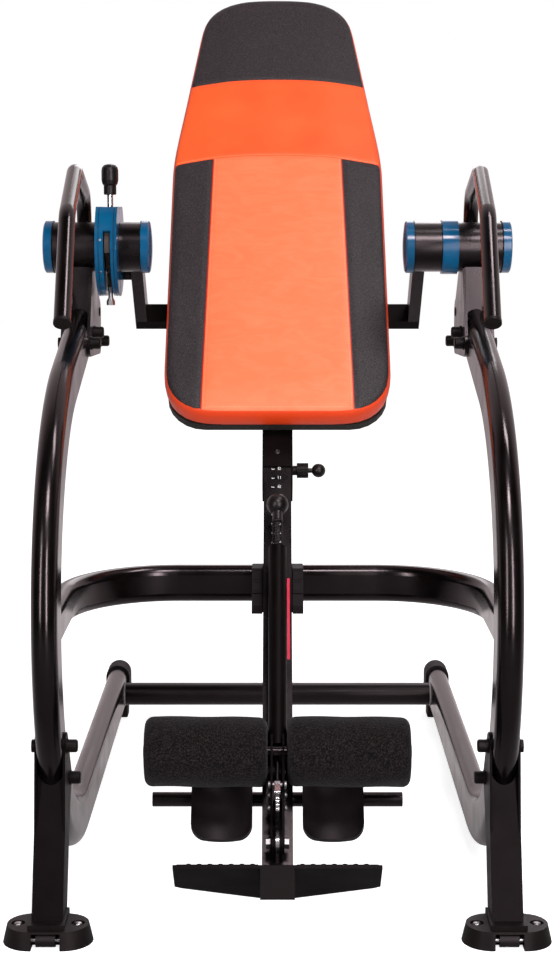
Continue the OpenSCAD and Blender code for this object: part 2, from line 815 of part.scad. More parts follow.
// Flanged bushes that run on the fixed axles
module pivot_bushes() {
    color("#b08d57") for (s = [0, 1]) mirror([1 - s, 0, 0]) on_bed() difference() {
        union() {
            rod_x(sleeve_in + 10, bed_sleeve_end[s] - 4, bush_r, 0, 0);
            rod_x(sleeve_in + 7, sleeve_in + 10, bush_r + 4, 0, 0);
        }
        rod_x(sleeve_in, bed_sleeve_end[s], axle_d / 2 + fit, 0, 0);
    }
}

// Two rectangular tubes, from the spine to under each swing arm
module bed_crossbar() {
    end = arm_x + arm_w / 2;
    color("#161618") both_sides() on_bed() difference() {
        translate([spine_w / 2, cross_y - cross_t / 2, arm_z - arm_h / 2])
            cube([end - spine_w / 2, cross_t, arm_h]);
        translate([spine_w / 2 - 1, cross_y - cross_t / 2 + tube_t, arm_z - arm_h / 2 + tube_t])
            cube([end - spine_w / 2 - 2, cross_t - 2 * tube_t, arm_h - 2 * tube_t]);
    }
}

// Square tube that carries the board and takes the boom
module spine() {
    lip = (spine_w - spine_in) / 2;
    color("#151517") on_bed() difference() {
        translate([0, spine_y, spine_foot]) linear_extrude(spine_head - spine_foot)
            box_ring(spine_w, spine_w, lip);
        translate([-spine_in / 2, spine_y - spine_w / 2 - 1, spine_foot - 1])
            cube([spine_in, lip + 1.01, 37]);
        rod_x(spine_in / 2 - 1, spine_w / 2 + 1, pin_r + 0.1, spine_y, pin_z, 32);
    }
}

// Pad outline in the bed's plane: rounded foot corners, a shoulder and a narrower head
function crowned(p, h) = [p[0], p[1] + head_crown * max(0, 1 - pow(p[0] / (h - 30), 2))];

module pad_outline(inset) {
    w = pad_w / 2 - inset;
    h = head_w / 2 - inset;
    z0 = -pad_foot + inset;
    z1 = pad_l - head_crown - pad_foot - inset;
    r0 = 70 - inset;
    r1 = 70 - inset;
    right = concat(
        [for (a = [-90:15:0]) [w - r0 + r0 * cos(a), z0 + r0 + r0 * sin(a)]],
        [[w, z1 - 425], [w - 7, z1 - 365], [w - 16, z1 - 300]],
        [for (a = [10:16:90]) crowned([h - r1 + r1 * cos(a), z1 - r1 + r1 * sin(a)], h)],
        [crowned([(h - r1) / 2, z1], h)]);
    polygon(concat(right, [for (i = [len(right) - 1:-1:0]) [-right[i][0], right[i][1]]]));
}

module on_board(y, t) {
    on_bed() translate([0, y + t, 0]) rotate([90, 0, 0]) linear_extrude(t) children();
}

module back_board() { color("#1a1a1a") on_board(board_y, board_t) pad_outline(6); }
module back_pad() { color("#e8501e") on_board(pad_y, pad_t) pad_outline(0); }

module board_straps() {
    color("#161618") for (z = [-210, 90, 260])
        on_bed() translate([4 - head_w / 2, strap_y, z]) cube([head_w - 8, strap_t, 40]);
}

// ---- height pin ---------------------------------------------------------

module pin_barrel() {
    color("#151517") on_bed() translate([spine_w / 2, spine_y, pin_z]) rotate([0, 90, 0])
        difference() {
            union() {
                cylinder(r = 8, h = 7);
                translate([0, 0, 7]) cylinder(r = 12.5, h = barrel_end - spine_w / 2 - 7);
            }
            for (a = [0:30:330]) rotate([0, 0, a]) translate([13, 0, 9])
                cylinder(r = 1.6, h = 20, $fn = 16);
            translate([0, 0, -1]) cylinder(r = pin_r + 0.1, h = 40);
        }
}

// Spring pin with a ball pull, drawn back until its tip clears the boom
module height_pin() {
    tip = boom_w / 2 + seat;
    ball = 11.5;
    centre = barrel_end + 17;
    color("#141416") on_bed() {
        rod_x(tip, centre, pin_r, spine_y, pin_z, 32);
        translate([centre, spine_y, pin_z]) sphere(ball, $fn = 40);
    }
}

// ---- boom ---------------------------------------------------------------

module boom() {
    color("#18181a") on_bed() difference() {
        translate([0, boom_y, -boom_end]) linear_extrude(boom_end + boom_head)
            box_ring(boom_w, boom_w, tube_t);
        for (k = [-2:holes_below])
            rod_x(0, boom_w, pin_r + 0.3, boom_y, pin_z - k * hole_pitch, 24);
    }
}

plate_z = -boom_end;

// Hollow wedge under the front of the foot plate
module foot_stub() {
    back = boom_front - 2.5;
    color("#161618") difference() {
        bed_plate(-stub_w / 2, stub_w) polygon([[stub_front, plate_z], [boom_front, plate_z],
            [boom_front, plate_z - 12], [stub_front, plate_z - stub_w]]);
        bed_plate(-stub_w / 2 + 2.5, stub_w - 5) polygon([[stub_front - 1, plate_z - 2.5],
            [back, plate_z - 2.5], [back, plate_z - 10.6], [stub_front - 1, plate_z - stub_w + 2.3]]);
    }
}

// Plastic caps of the stub and of the boom's lower end
module end_caps() {
    color("#101012") on_bed() {
        translate([-stub_w / 2, stub_front - 4, plate_z - stub_w]) cube([stub_w, 4, stub_w]);
        translate([-boom_w / 2, boom_front, -boom_end - 2]) cube([boom_w, boom_w, 2]);
    }
}

plate_front = stub_front + 4;

// Swept outline of one foot rest; the inner end is wider than the outer end
module wing_outline(inset) {
    w = plate_w / 2;
    polygon([[-w + inset, -plate_front - inset], [w - inset, -plate_front - inset],
        [w - inset, -plate_front - 66 + inset], [w - 10, -plate_front - 72 + inset],
        [boom_w / 2 + 4, -boom_back - 6 + inset], [-boom_w / 2 - 4, -boom_back - 6 + inset],
        [-w + 10, -plate_front - 72 + inset], [-w + inset, -plate_front - 66 + inset]]);
}

module boom_notch(gap) {
    translate([-boom_w / 2 - gap, -boom_back - 60]) square([boom_w + 2 * gap, boom_w + 60 + gap]);
}

module foot_plate() {
    color("#1b1b1d") on_bed() translate([0, 0, plate_z]) mirror([0, 1, 0]) linear_extrude(5)
        difference() { wing_outline(0); boom_notch(0); }
}

// Ribbed rubber tread on each wing
module foot_treads() {
    color("#2b2b2d") for (s = [0, 1]) mirror([s, 0, 0]) on_bed()
        translate([0, 0, plate_z + 5]) mirror([0, 1, 0]) {
            linear_extrude(3) tread_outline();
            for (k = [0:6]) translate([32 + 15 * k, -plate_front - 64, 3])
                cube([6, 56, 2.5]);
        }
}

module tread_outline() {
    intersection() {
        wing_outline(5);
        translate([27, -plate_front - 90]) square([plate_w, 90]);
    }
}

// Heel bar with its saddle block on the back of the boom
module heel_bar() {
    half = heel_bar_l / 2;
    color("#17171a") on_bed() difference() {
        union() {
            rod_x(-half, half, heel_bar_d / 2, heel_y, heel_z);
            translate([-22, boom_back, heel_z - 16]) cube([44, heel_y - boom_back, 32]);
        }
        for (s = [-1, 1]) rod_x(min(s * 24, s * (half - 3)), max(s * 24, s * (half - 3)),
            heel_bar_d / 2 - tube_t, heel_y, heel_z);
    }
}

cradle_in = 60;
cradle_t = 10;
cradle_axis = heel_y - heel_bar_d / 2 - cradle_in - cradle_t;

// Curved heel cup with rounded lower corners and a lug clamped on the bar
module heel_cradle() {
    foot = heel_z - cradle_h + 26;
    color("#2b2b2e") on_bed() difference() {
        union() {
            intersection() {
                translate([cradle_x, cradle_axis, foot]) cylinder(r = cradle_in + cradle_t,
                    h = cradle_h, $fn = 96);
                translate([cradle_x - cradle_w / 2, cradle_axis + 120, foot]) rotate([90, 0, 0])
                    linear_extrude(120) round_rect(cradle_w, cradle_h, 18);
            }
            translate([cradle_x - 20, heel_y - 16, heel_z - 18]) cube([40, 34, 36]);
        }
        translate([cradle_x, cradle_axis, foot - 1]) cylinder(r = cradle_in,
            h = cradle_h + 2, $fn = 96);
        rod_x(cradle_x - 30, cradle_x + 30, heel_bar_d / 2, heel_y, heel_z);
    }
}
module heel_cradle_left() { on_left() heel_cradle(); }
module heel_cradle_right() { heel_cradle(); }

// ---- ankle clamp --------------------------------------------------------

// Plate drawn in the bed's side view: drawing x is the bed's y, drawing y its z
module bed_plate(x, t) {
    on_bed() translate([x, 0, 0]) rotate([90, 0, 90]) linear_extrude(t) children();
}

module bracket_outline() {
    translate([clamp_y, clamp_z]) circle(17);
    polygon([[boom_front, clamp_z - 17], [clamp_y, clamp_z - 17], [clamp_y - 15, clamp_z + 8],
        [clamp_y, clamp_z + 66], [boom_front, clamp_z + 78]]);
}

module ratchet_bracket() {
    color("#1a1a1c") difference() {
        for (x = [-sector_t / 2 - bracket_t, sector_t / 2]) bed_plate(x, bracket_t)
            bracket_outline();
        on_bed() rod_x(-20, 20, 5, clamp_y, clamp_z);
    }
}

// Notched sector between the bracket plates
module ratchet_sector() {
    last = tooth_a + notch_step * notch_steps;
    color("#d2d2d6") difference() {
        union() {
            bed_plate(-sector_t / 2, sector_t) bracket_outline();
            on_bed() translate([-sector_t / 2, clamp_y, clamp_z]) rotate([90, 0, 90])
                rotate_extrude(angle = last - tooth_a + 10, start = tooth_a - 5, $fn = 96)
                square([sector_r, sector_t]);
        }
        on_bed() rod_x(-20, 20, 5, clamp_y, clamp_z);
        for (k = [0:notch_steps]) let (a = tooth_a + notch_step * k)
            on_bed() rod_x(-10, 10, 3.7, clamp_y + sector_r * cos(a),
                clamp_z + sector_r * sin(a), 32);
    }
}

module clamp_bolt() {
    out = yoke_in + yoke_t + 0.5;
    color("#c4c4c8") on_bed() {
        rod_x(-out - 6, out + 6, 5, clamp_y, clamp_z);
        rod_x(-out - 6, -out, 8, clamp_y, clamp_z, 6);
        rod_x(out, out + 6, 8, clamp_y, clamp_z, 6);
    }
}

module yoke_outline() {
    translate([clamp_y, clamp_z]) circle(15);
    translate([axle_y, axle_z]) circle(14);
    translate([pawl_y, pawl_z]) circle(10);
    polygon([[clamp_y + 14, clamp_z - 2], [lever_y + 14, lever_foot + 15],
        [lever_y - 14, lever_foot + 15], [axle_y - 14, axle_z], [pawl_y - 10, pawl_z + 1],
        [pawl_y + 2, pawl_z - 10], [clamp_y - 14, clamp_z + 3]]);
}

// Long lever tube with a guide plug on top and two yoke plates below
module clamp_lever() {
    color("#161618") difference() {
        union() {
            on_bed() difference() {
                translate([0, lever_y, lever_foot])
                    cylinder(d = lever_d, h = lever_top - lever_foot);
                translate([0, lever_y, lever_foot - 1])
                    cylinder(d = lever_d - 5, h = lever_top - lever_foot - 5);
            }
            for (x = [-yoke_in - yoke_t, yoke_in]) bed_plate(x, yoke_t) yoke_outline();
        }
        on_bed() {
            rod_x(-20, 20, 5 + fit, clamp_y, clamp_z);
            rod_x(-20, 20, roller_axle_d / 2, axle_y, axle_z);
            rod_x(-20, 20, 3, pawl_y, pawl_z);
            translate([0, lever_y, lever_top - 10]) cylinder(r = rod_r + 0.2, h = 20);
        }
    }
}

foam_in = lever_d / 2 + 0.5;

module roller_axle() {
    out = foam_in + foam_l + 0.5;
    color("#26262a") on_bed() {
        rod_x(-out, out, roller_axle_d / 2, axle_y, axle_z);
        for (s = [-1, 1]) rod_x(min(s * out, s * (out + 2)), max(s * out, s * (out + 2)),
            roller_axle_d / 2 + 2, axle_y, axle_z);
    }
}

module foam_roller() {
    color("#1f1f21") on_bed() difference() {
        rod_x(foam_in, foam_in + foam_l, foam_d / 2, axle_y, axle_z, 96);
        rod_x(foam_in - 1, foam_in + foam_l + 1, roller_axle_d / 2 + fit, axle_y, axle_z);
    }
}
module foam_roller_left() { on_left() foam_roller(); }
module foam_roller_right() { foam_roller(); }

wire_r = 0.9;
coil_r = 8;
coil_turns = 9;

// Return spring: a round wire swept along a helix, ring by ring
module release_spring() {
    steps = 12;
    sides = 6;
    n = steps * coil_turns;
    z0 = lever_top + wire_r;
    rise = neck_z - lever_top - 2 * wire_r;
    ring = [for (i = [0:n]) for (j = [0:sides - 1])
        let (a = 360 * i / steps, b = 360 * j / sides, r = coil_r + wire_r * cos(b))
        [r * cos(a), r * sin(a), z0 + rise * i / n + wire_r * sin(b)]];
    skin = [for (i = [0:n - 1]) for (j = [0:sides - 1]) let (k = (j + 1) % sides)
        [i * sides + j, i * sides + k, (i + 1) * sides + k, (i + 1) * sides + j]];
    ends = [[for (j = [sides - 1:-1:0]) j], [for (j = [0:sides - 1]) n * sides + j]];
    color("#b4b4b8") on_bed() translate([0, lever_y, 0])
        polyhedron(points = ring, faces = concat(skin, ends), convexity = 8);
}

module release_rod() {
    color("#c8c8cc") on_bed() {
        translate([0, lever_y, rod_foot]) cylinder(r = rod_r, h = neck_z - rod_foot);
        translate([0, lever_y, neck_z]) cylinder(r = neck_r, h = 17);
    }
}

module release_knob() {
    color("#131315") on_bed() difference() {
        translate([0, lever_y, ball_z]) sphere(d = ball_d, $fn = 48);
        translate([0, lever_y, neck_z]) cylinder(r = neck_r, h = 17);
    }
}

// Pawl on the clamp: its tail lies under the rod and its nose over the notches
module pawl() {
    nose = [clamp_y + (sector_r + 3.3) * cos(tooth_a), clamp_z + (sector_r + 3.3) * sin(tooth_a)];
    tail = [lever_y, rod_foot - 4.3];
    hub = [pawl_y, pawl_z];
    color("#c9c9cc") difference() {
        bed_plate(-4, 8) union() {
            translate(nose) circle(3);
            translate(tail) circle(4);
            translate(hub) circle(6.2);
            polygon([nose + [-1.8, 1.2], hub + [-4, 3], hub + [-1.5, 4.8], tail + [-0.8, 3],
                tail + [0.6, -2.3], hub + [1.2, -1.4], nose + [1.2, -1.0]]);
        }
        on_bed() rod_x(-10, 10, 3 + fit, pawl_y, pawl_z);
    }
}

module pawl_pin() {
    out = yoke_in + yoke_t;
    color("#c4c4c8") on_bed() {
        rod_x(-out, out, 3, pawl_y, pawl_z);
        rod_x(-out - 3, -out, 5.5, pawl_y, pawl_z);
        rod_x(out, out + 3, 5.5, pawl_y, pawl_z);
    }
}

// ---- output -------------------------------------------------------------

hoop_left();
hoop_right();
rear_shoes();
rear_crossbar();
rest_bar();
rest_bumper();
post_left();
post_right();
foot_pads();
roller_pins();
transport_roller_left();
transport_roller_right();
pivot_stand_left();
pivot_stand_right();
frame_bolts();
pivot_axles();
outer_caps();
handle_left();
handle_right();
tube_plugs();
brake_drum();
spacer_ring();
swing_arm_left();
swing_arm_right();
bed_crossbar();
spine();
back_board();
back_pad();
board_straps();
pivot_bushes();
inner_caps();
caliper_outer();
caliper_inner();
brake_band();
brake_bolts();
brake_lever();
brake_knob();
pin_barrel();
height_pin();
boom();
foot_stub();
end_caps();
foot_plate();
foot_treads();
heel_bar();
heel_cradle_left();
heel_cradle_right();
ratchet_bracket();
ratchet_sector();
clamp_bolt();
clamp_lever();
roller_axle();
foam_roller_left();
foam_roller_right();
release_spring();
release_rod();
release_knob();
pawl();
pawl_pin();
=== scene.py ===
"""Looks of an inversion table: finishes, padding, seams, markings, welds and light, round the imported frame."""
import json
import math

import bmesh
import bpy
import numpy as np
from mathutils import Matrix, Vector
from mathutils.bvhtree import BVHTree


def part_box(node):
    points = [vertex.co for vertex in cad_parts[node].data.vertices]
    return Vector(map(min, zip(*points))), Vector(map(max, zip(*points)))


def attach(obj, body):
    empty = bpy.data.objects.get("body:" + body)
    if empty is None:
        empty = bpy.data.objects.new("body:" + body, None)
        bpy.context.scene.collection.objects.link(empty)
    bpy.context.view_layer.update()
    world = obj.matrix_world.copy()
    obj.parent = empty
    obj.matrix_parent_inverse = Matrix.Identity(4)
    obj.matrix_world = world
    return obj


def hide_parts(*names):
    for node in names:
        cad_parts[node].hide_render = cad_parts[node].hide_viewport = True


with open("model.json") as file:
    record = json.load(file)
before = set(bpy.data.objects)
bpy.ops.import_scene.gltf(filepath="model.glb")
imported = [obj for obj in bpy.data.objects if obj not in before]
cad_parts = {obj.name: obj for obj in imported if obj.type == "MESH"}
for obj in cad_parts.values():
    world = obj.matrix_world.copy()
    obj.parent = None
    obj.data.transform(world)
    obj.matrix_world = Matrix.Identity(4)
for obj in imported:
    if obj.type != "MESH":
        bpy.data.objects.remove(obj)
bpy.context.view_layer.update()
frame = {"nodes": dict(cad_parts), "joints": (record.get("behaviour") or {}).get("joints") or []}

MM = 0.001
FULL_TURN = 2 * math.pi
# more than any distance on the part
FAR = 9.0

# ---- places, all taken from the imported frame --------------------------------

joints = {j["name"]: j for j in frame["joints"]}
nodes = frame["nodes"]
pivot = Vector(joints["bed_tilt"]["pos_m"])
bed_down = Vector(joints["boom_height"]["axis"]).normalized()
bed_up = -bed_down
bed_back = Vector((0, bed_up.z, -bed_up.y))
bed_matrix = Matrix.Translation(pivot) @ Matrix(((1, bed_back.x, bed_up.x), (0, bed_back.y, bed_up.y),
                                                 (0, bed_back.z, bed_up.z))).to_4x4()
recline = math.atan2(bed_up.y, bed_up.z)


def on_bed(x, y, z):
    """A place given in metres in the bed's own frame: across, behind the pivot axis, up the bed."""
    return bed_matrix @ Vector((x, y, z))


def points_of(obj):
    """The places of an object's points, one row each."""
    flat = np.empty(len(obj.data.vertices) * 3)
    obj.data.vertices.foreach_get("co", flat)
    return flat.reshape(-1, 3)


def to_bed(points):
    """Rows of places moved into the bed's own frame."""
    back = np.array(bed_matrix.inverted())
    return points @ back[:3, :3].T + back[:3, 3]


def from_bed(points):
    """Rows of places in the bed's own frame moved back into the world."""
    front = np.array(bed_matrix)
    return points @ front[:3, :3].T + front[:3, 3]


def bed_points(node):
    """The corners of a node in the bed's own frame."""
    return to_bed(points_of(nodes[node]))


def bed_box(node):
    """The low and the high corner of a node in the bed's own frame."""
    p = bed_points(node)
    return p.min(axis=0), p.max(axis=0)


# ---- small makers ---------------------------------------------------------

def linear(code):
    """sRGB hex to linear RGBA."""
    parts = [int(code[i:i + 2], 16) / 255 for i in (1, 3, 5)]
    return [c / 12.92 if c <= 0.04045 else ((c + 0.055) / 1.055) ** 2.4 for c in parts] + [1.0]


def add(tree, kind, sockets=None, **settings):
    """One node, with its settings, its values and its links."""
    n = tree.nodes.new(kind)
    for key, value in settings.items():
        setattr(n, key, value)
    for key, value in (sockets or {}).items():
        s = n.inputs[key]
        if isinstance(value, bpy.types.NodeSocket):
            tree.links.new(value, s)
        else:
            s.default_value = value
    return n


def blank(name):
    """A new material and its empty node tree."""
    m = bpy.data.materials.new(name)
    m.use_nodes = True
    m.node_tree.nodes.clear()
    return m, m.node_tree


def finish_of(tree, color, rough, bump=None, **sockets):
    """The shader and the output that every finish ends in."""
    s = {"Base Color": color, "Roughness": rough}
    if bump is not None:
        s["Normal"] = bump
    s.update({k.replace("_", " "): v for k, v in sockets.items()})
    shader = add(tree, "ShaderNodeBsdfPrincipled", s)
    add(tree, "ShaderNodeOutputMaterial", {"Surface": shader.outputs[0]})


def place(tree, size=(1, 1, 1), turn=(0, 0, 0)):
    """Object coordinates, in units of the given size in metres."""
    co = add(tree, "ShaderNodeTexCoord").outputs["Object"]
    return add(tree, "ShaderNodeMapping", {"Vector": co, "Scale": [1 / s for s in size], "Rotation": turn},
               vector_type="POINT").outputs[0]


def ramp(tree, fac, low, high, a, b):
    """A value or a colour that goes from a at low to b at high."""
    r = add(tree, "ShaderNodeValToRGB", {"Fac": fac})
    r.color_ramp.elements[0].position, r.color_ramp.elements[1].position = low, high
    r.color_ramp.elements[0].color, r.color_ramp.elements[1].color = a, b
    return r.outputs[0]


def grey(v):
    """A grey of the given linear value."""
    return [v, v, v, 1.0]


def noise(tree, size, detail, turn=(0, 0, 0), **more):
    """Noise with features of about the given size in metres: one size, or one for each axis."""
    sizes = size if isinstance(size, tuple) else (size,) * 3
    sockets = {"Vector": place(tree, sizes, turn), "Scale": 1.0, "Detail": detail, **more}
    return add(tree, "ShaderNodeTexNoise", sockets).outputs[0]


def relief(tree, height, strength, depth):
    """A bump of the given depth in metres."""
    return add(tree, "ShaderNodeBump", {"Height": height, "Strength": strength, "Distance": depth}).outputs[0]


def calc(tree, operation, a, b=0.0, c=0.0):
    """One step of arithmetic on values or sockets."""
    return add(tree, "ShaderNodeMath", {0: a, 1: b, 2: c}, operation=operation).outputs[0]


def step(tree, value, edge, above=True):
    """1 on one side of the edge and 0 on the other."""
    side = "GREATER_THAN" if above else "LESS_THAN"
    return add(tree, "ShaderNodeMath", {0: value, 1: edge}, operation=side).outputs[0]


def blend(tree, factor, a, b):
    """Colour a where the factor is 0 and colour b where it is 1."""
    mix = tree.nodes.new("ShaderNodeMix")
    mix.data_type = "RGBA"
    factor_in, a_in, b_in, color_out = 0, 6, 7, 2
    for slot, value in ((factor_in, factor), (a_in, a), (b_in, b)):
        if isinstance(value, bpy.types.NodeSocket):
            tree.links.new(value, mix.inputs[slot])
        else:
            mix.inputs[slot].default_value = value
    return mix.outputs[color_out]


# ---- finishes ---------------------------------------------------------------

# sizes of the grain, in metres
ORANGE_PEEL, COAT_CLOUD = 0.0022, 0.06
PLASTIC_CLOUD, PLATING_CLOUD = 0.035, 0.02
FOAM_PORE, FOAM_SPECK, FOAM_DENT = 0.0019, 0.0023, 0.014
YARN = 0.0035
# black paint and plastic mirror the lamps with a faint warm cast
COAT_TINT, PLASTIC_TINT = "#ffe6ec", "#ffecf0"

def powder_coat(name, code, worn, rough, shine):
    """Steel in powder coat: a deep black that mirrors the lamps softly, with orange peel."""
    m, t = blank(name)
    peel = noise(t, ORANGE_PEEL, 3.0)
    cloud = noise(t, COAT_CLOUD, 4.0)
    tone = ramp(t, cloud, 0.35, 0.7, linear(code), linear(worn))
    gloss = ramp(t, cloud, 0.3, 0.7, grey(rough[0]), grey(rough[1]))
    finish_of(t, tone, gloss, relief(t, peel, 0.10, 0.4 * MM), IOR=1.5, Specular_IOR_Level=shine,
              Specular_Tint=linear(COAT_TINT))
    return m


def moulded_plastic(name, code, worn, rough=0.5, grain=0.0011, depth=0.3, shine=0.3):
    """Moulded plastic or rubber: an even colour with a fine spark-eroded grain and a faint bloom."""
    m, t = blank(name)
    fine = noise(t, grain, 2.0)
    cloud = noise(t, PLASTIC_CLOUD, 5.0)
    tone = ramp(t, cloud, 0.35, 0.72, linear(code), linear(worn))
    gloss = ramp(t, cloud, 0.3, 0.75, grey(rough), grey(min(1, rough + 0.12)))
    finish_of(t, tone, gloss, relief(t, fine, depth, 0.4 * MM), IOR=1.5, Specular_IOR_Level=shine,
              Specular_Tint=linear(PLASTIC_TINT))
    return m


def plated_steel(name, code, dark, rough=0.22, pitch=0.0006):
    """Plated or turned metal: bright, with fine turning lines across the part."""
    m, t = blank(name)
    lines = noise(t, (pitch, 0.02, 0.02), 2.0)
    cloud = noise(t, PLATING_CLOUD, 4.0)
    tone = ramp(t, cloud, 0.3, 0.75, linear(dark), linear(code))
    gloss = ramp(t, cloud, 0.3, 0.75, grey(rough + 0.1), grey(rough))
    finish_of(t, tone, gloss, relief(t, lines, 0.08, 0.2 * MM), Metallic=1.0)
    return m


def stained_ply():
    """Black stained birch plywood, with open grain along the board."""
    m, t = blank("black_stained_plywood")
    grain = noise(t, (0.004, 0.004, 0.09), 6.0, turn=(-recline, 0, 0))
    tone = ramp(t, grain, 0.35, 0.7, linear("#141211"), linear("#2b2522"))
    finish_of(t, tone, 0.72, relief(t, grain, 0.35, 0.5 * MM), IOR=1.45)
    return m


def closed_cell_foam():
    """Closed-cell foam sleeve: dead matt black, with small pores and shallow dents."""
    m, t = blank("closed_cell_foam")
    pores = add(t, "ShaderNodeTexVoronoi", {"Vector": place(t, (FOAM_PORE,) * 3), "Scale": 1.0})
    speck = noise(t, FOAM_SPECK, 3.0, Roughness=0.75)
    rough_skin = calc(t, "ADD", pores.outputs[0], noise(t, FOAM_DENT, 4.0))
    tone = ramp(t, speck, 0.45, 0.62, linear("#020101"), linear("#251e1f"))
    finish_of(t, tone, 0.9, relief(t, rough_skin, 0.6, 1.4 * MM), IOR=1.35, Specular_IOR_Level=0.18,
              Sheen_Weight=0.06, Sheen_Roughness=0.5)
    return m


def woven_lining():
    """Woven friction lining under a steel strap: brown yarn on the bias."""
    m, t = blank("woven_friction_lining")
    bias = (0.5, 0.6, 0)
    wave = add(t, "ShaderNodeTexWave", {"Vector": place(t, (YARN,) * 3, bias), "Scale": 1.0, "Distortion": 2.0})
    yarn = wave.outputs[1]
    tone = ramp(t, yarn, 0.3, 0.8, linear("#2e241d"), linear("#6d5847"))
    finish_of(t, tone, 0.8, relief(t, yarn, 0.5, 0.6 * MM), IOR=1.45)
    return m


def bed_axes(t):
    """The surface's place in the bed's own frame: across, back and up, in metres."""
    co = add(t, "ShaderNodeTexCoord").outputs["Object"]
    # the point is moved to the pivot first and then turned upright
    at = add(t, "ShaderNodeVectorMath", {0: co, 1: tuple(-pivot)}, operation="ADD")
    turned = add(t, "ShaderNodeVectorRotate", {"Vector": at.outputs[0], "Angle": recline}, rotation_type="X_AXIS")
    return add(t, "ShaderNodeSeparateXYZ", {0: turned.outputs[0]}).outputs


# the pad's seams: two heights up the bed, how much they bow, and the centre panel's half width, in metres
band_low, band_high, band_bow = 0.318, 0.515, 0.55
panel_half, panel_spread = 0.1165, 0.018
# each vinyl varies between two tones; the centre panel's two tones are painted shade in its crease troughs and
# painted highlight on their ridges
BAND, PANEL, STRIP = ("#ee5222", "#f25c2a"), ("#f16e45", "#f57850"), ("#0a0708", "#483c40")
# the seam colour is painted shade for the fold of the vinyl into the seams beside the black strips
WALL, SEAM_SHADE = "#e04014", "#b01606"
SEAM_HALF = 1 * MM


def pad_vinyl(face_edge):
    """Upholstery vinyl in four panels: black speckled emboss, and three oranges with a fine leather grain."""
    m, t = blank("upholstery_vinyl")
    x, y, z = bed_axes(t)

    def both(a, b):
        return calc(t, "MULTIPLY", a, b)

    # where each panel lies
    bowed = calc(t, "ADD", z, both(both(x, x), band_bow))
    panel_edge = calc(t, "MULTIPLY_ADD", calc(t, "SUBTRACT", band_low, z), panel_spread, panel_half)
    past_panel = calc(t, "SUBTRACT", calc(t, "ABSOLUTE", x), panel_edge)
    below = step(t, bowed, band_low, above=False)
    face = step(t, y, face_edge, above=False)
    strips = both(below, step(t, past_panel, 0.0))
    black = both(calc(t, "MAXIMUM", step(t, bowed, band_high), strips), face)
    centre = both(both(below, step(t, past_panel, 0.0, above=False)), face)
    # painted shade: where the vinyl rolls into the seam beside the black strips, a deep red line is painted in its
    # colour
    from_seam = calc(t, "ABSOLUTE", calc(t, "ADD", past_panel, SEAM_HALF))
    roll = both(step(t, from_seam, SEAM_HALF, above=False), both(below, face))
    # grain and tones
    fine = place(t, (MM,) * 3)
    grain = add(t, "ShaderNodeTexVoronoi", {"Vector": fine, "Scale": 0.75}, feature="F1").outputs[0]
    speck = add(t, "ShaderNodeTexNoise", {"Vector": fine, "Scale": 0.62, "Detail": 3.0, "Roughness": 0.75}).outputs[0]
    cloud = add(t, "ShaderNodeTexNoise", {"Vector": fine, "Scale": 0.012, "Detail": 5.0}).outputs[0]
    crease = noise(t, (0.05, 0.02, 0.024), 6.0, turn=(0.6, 0.3, 0.5), Distortion=1.2)
    orange = ramp(t, cloud, 0.35, 0.7, *map(linear, BAND))
    # painted shade and highlight: the centre panel is darker in the troughs of its creases and lighter on their
    # ridges, from the same noise as their bump
    pale = ramp(t, crease, 0.4, 0.74, *map(linear, PANEL))
    dark = ramp(t, speck, 0.44, 0.66, *map(linear, STRIP))
    tone = blend(t, face, linear(WALL), orange)
    tone = blend(t, centre, tone, pale)
    tone = blend(t, roll, tone, linear(SEAM_SHADE))
    tone = blend(t, black, tone, dark)
    height = both(grain, 0.3)
    for part in (both(speck, black), both(crease, centre)):
        height = calc(t, "ADD", height, both(part, 1.4))
    finish_of(t, tone, calc(t, "MULTIPLY_ADD", black, 0.1, 0.46), relief(t, height, 0.3, 0.6 * MM), IOR=1.48,
              Specular_IOR_Level=0.35)
    return m


# ---- materials of the frame's own nodes --------------------------------------

coat = powder_coat("gloss_black_powder_coat", "#050303", "#090707", (0.16, 0.24), 0.40)
coat_soft = powder_coat("satin_black_powder_coat", "#040202", "#080505", (0.40, 0.52), 0.07)
coat_cross = powder_coat("semi_gloss_powder_coat", "#070505", "#0e0a0a", (0.30, 0.40), 0.18)
coat_sleeve = powder_coat("eggshell_powder_coat", "#040303", "#080606", (0.22, 0.32), 0.42)
rubber = moulded_plastic("moulded_black_rubber", "#110d0e", "#1b1617", rough=0.62, grain=0.0016, depth=0.4,
                         shine=0.18)
spring_steel = moulded_plastic("blackened_spring_steel", "#0b0909", "#161212", rough=0.36, grain=0.0012,
                               depth=0.1, shine=0.4)
plastic = moulded_plastic("black_nylon", "#0c0909", "#161111", rough=0.42, shine=0.16)
cap_plastic = moulded_plastic("matt_black_polyethylene", "#0a0707", "#130f0f", rough=0.6, shine=0.12)
plastic_grey = moulded_plastic("charcoal_polypropylene", "#0a0708", "#151011", rough=0.44, grain=0.0020,
                               depth=0.5, shine=0.26)
blue = moulded_plastic("petrol_blue_abs", "#04466a", "#055077", rough=0.14, grain=0.003, depth=0.04, shine=0.36)
ball = moulded_plastic("black_phenolic", "#090808", "#141212", rough=0.32, grain=0.004, depth=0.03, shine=0.34)
chrome = plated_steel("chromed_steel", "#d8d4d8", "#a8a4a8", rough=0.18)
zinc = plated_steel("zinc_plated_steel", "#b8b2b4", "#8b8688", rough=0.3)
# painted highlight: the weld beads' pale grey stands for their bright glints, also where they sit in the shade under
# the sleeves
weld = powder_coat("brushed_weld_bead", "#857d7f", "#d0c8ca", (0.12, 0.2), 1.0)
bronze = plated_steel("sintered_bronze", "#a87e49", "#7c5b34", rough=0.38)
foam = closed_cell_foam()
ply = stained_ply()
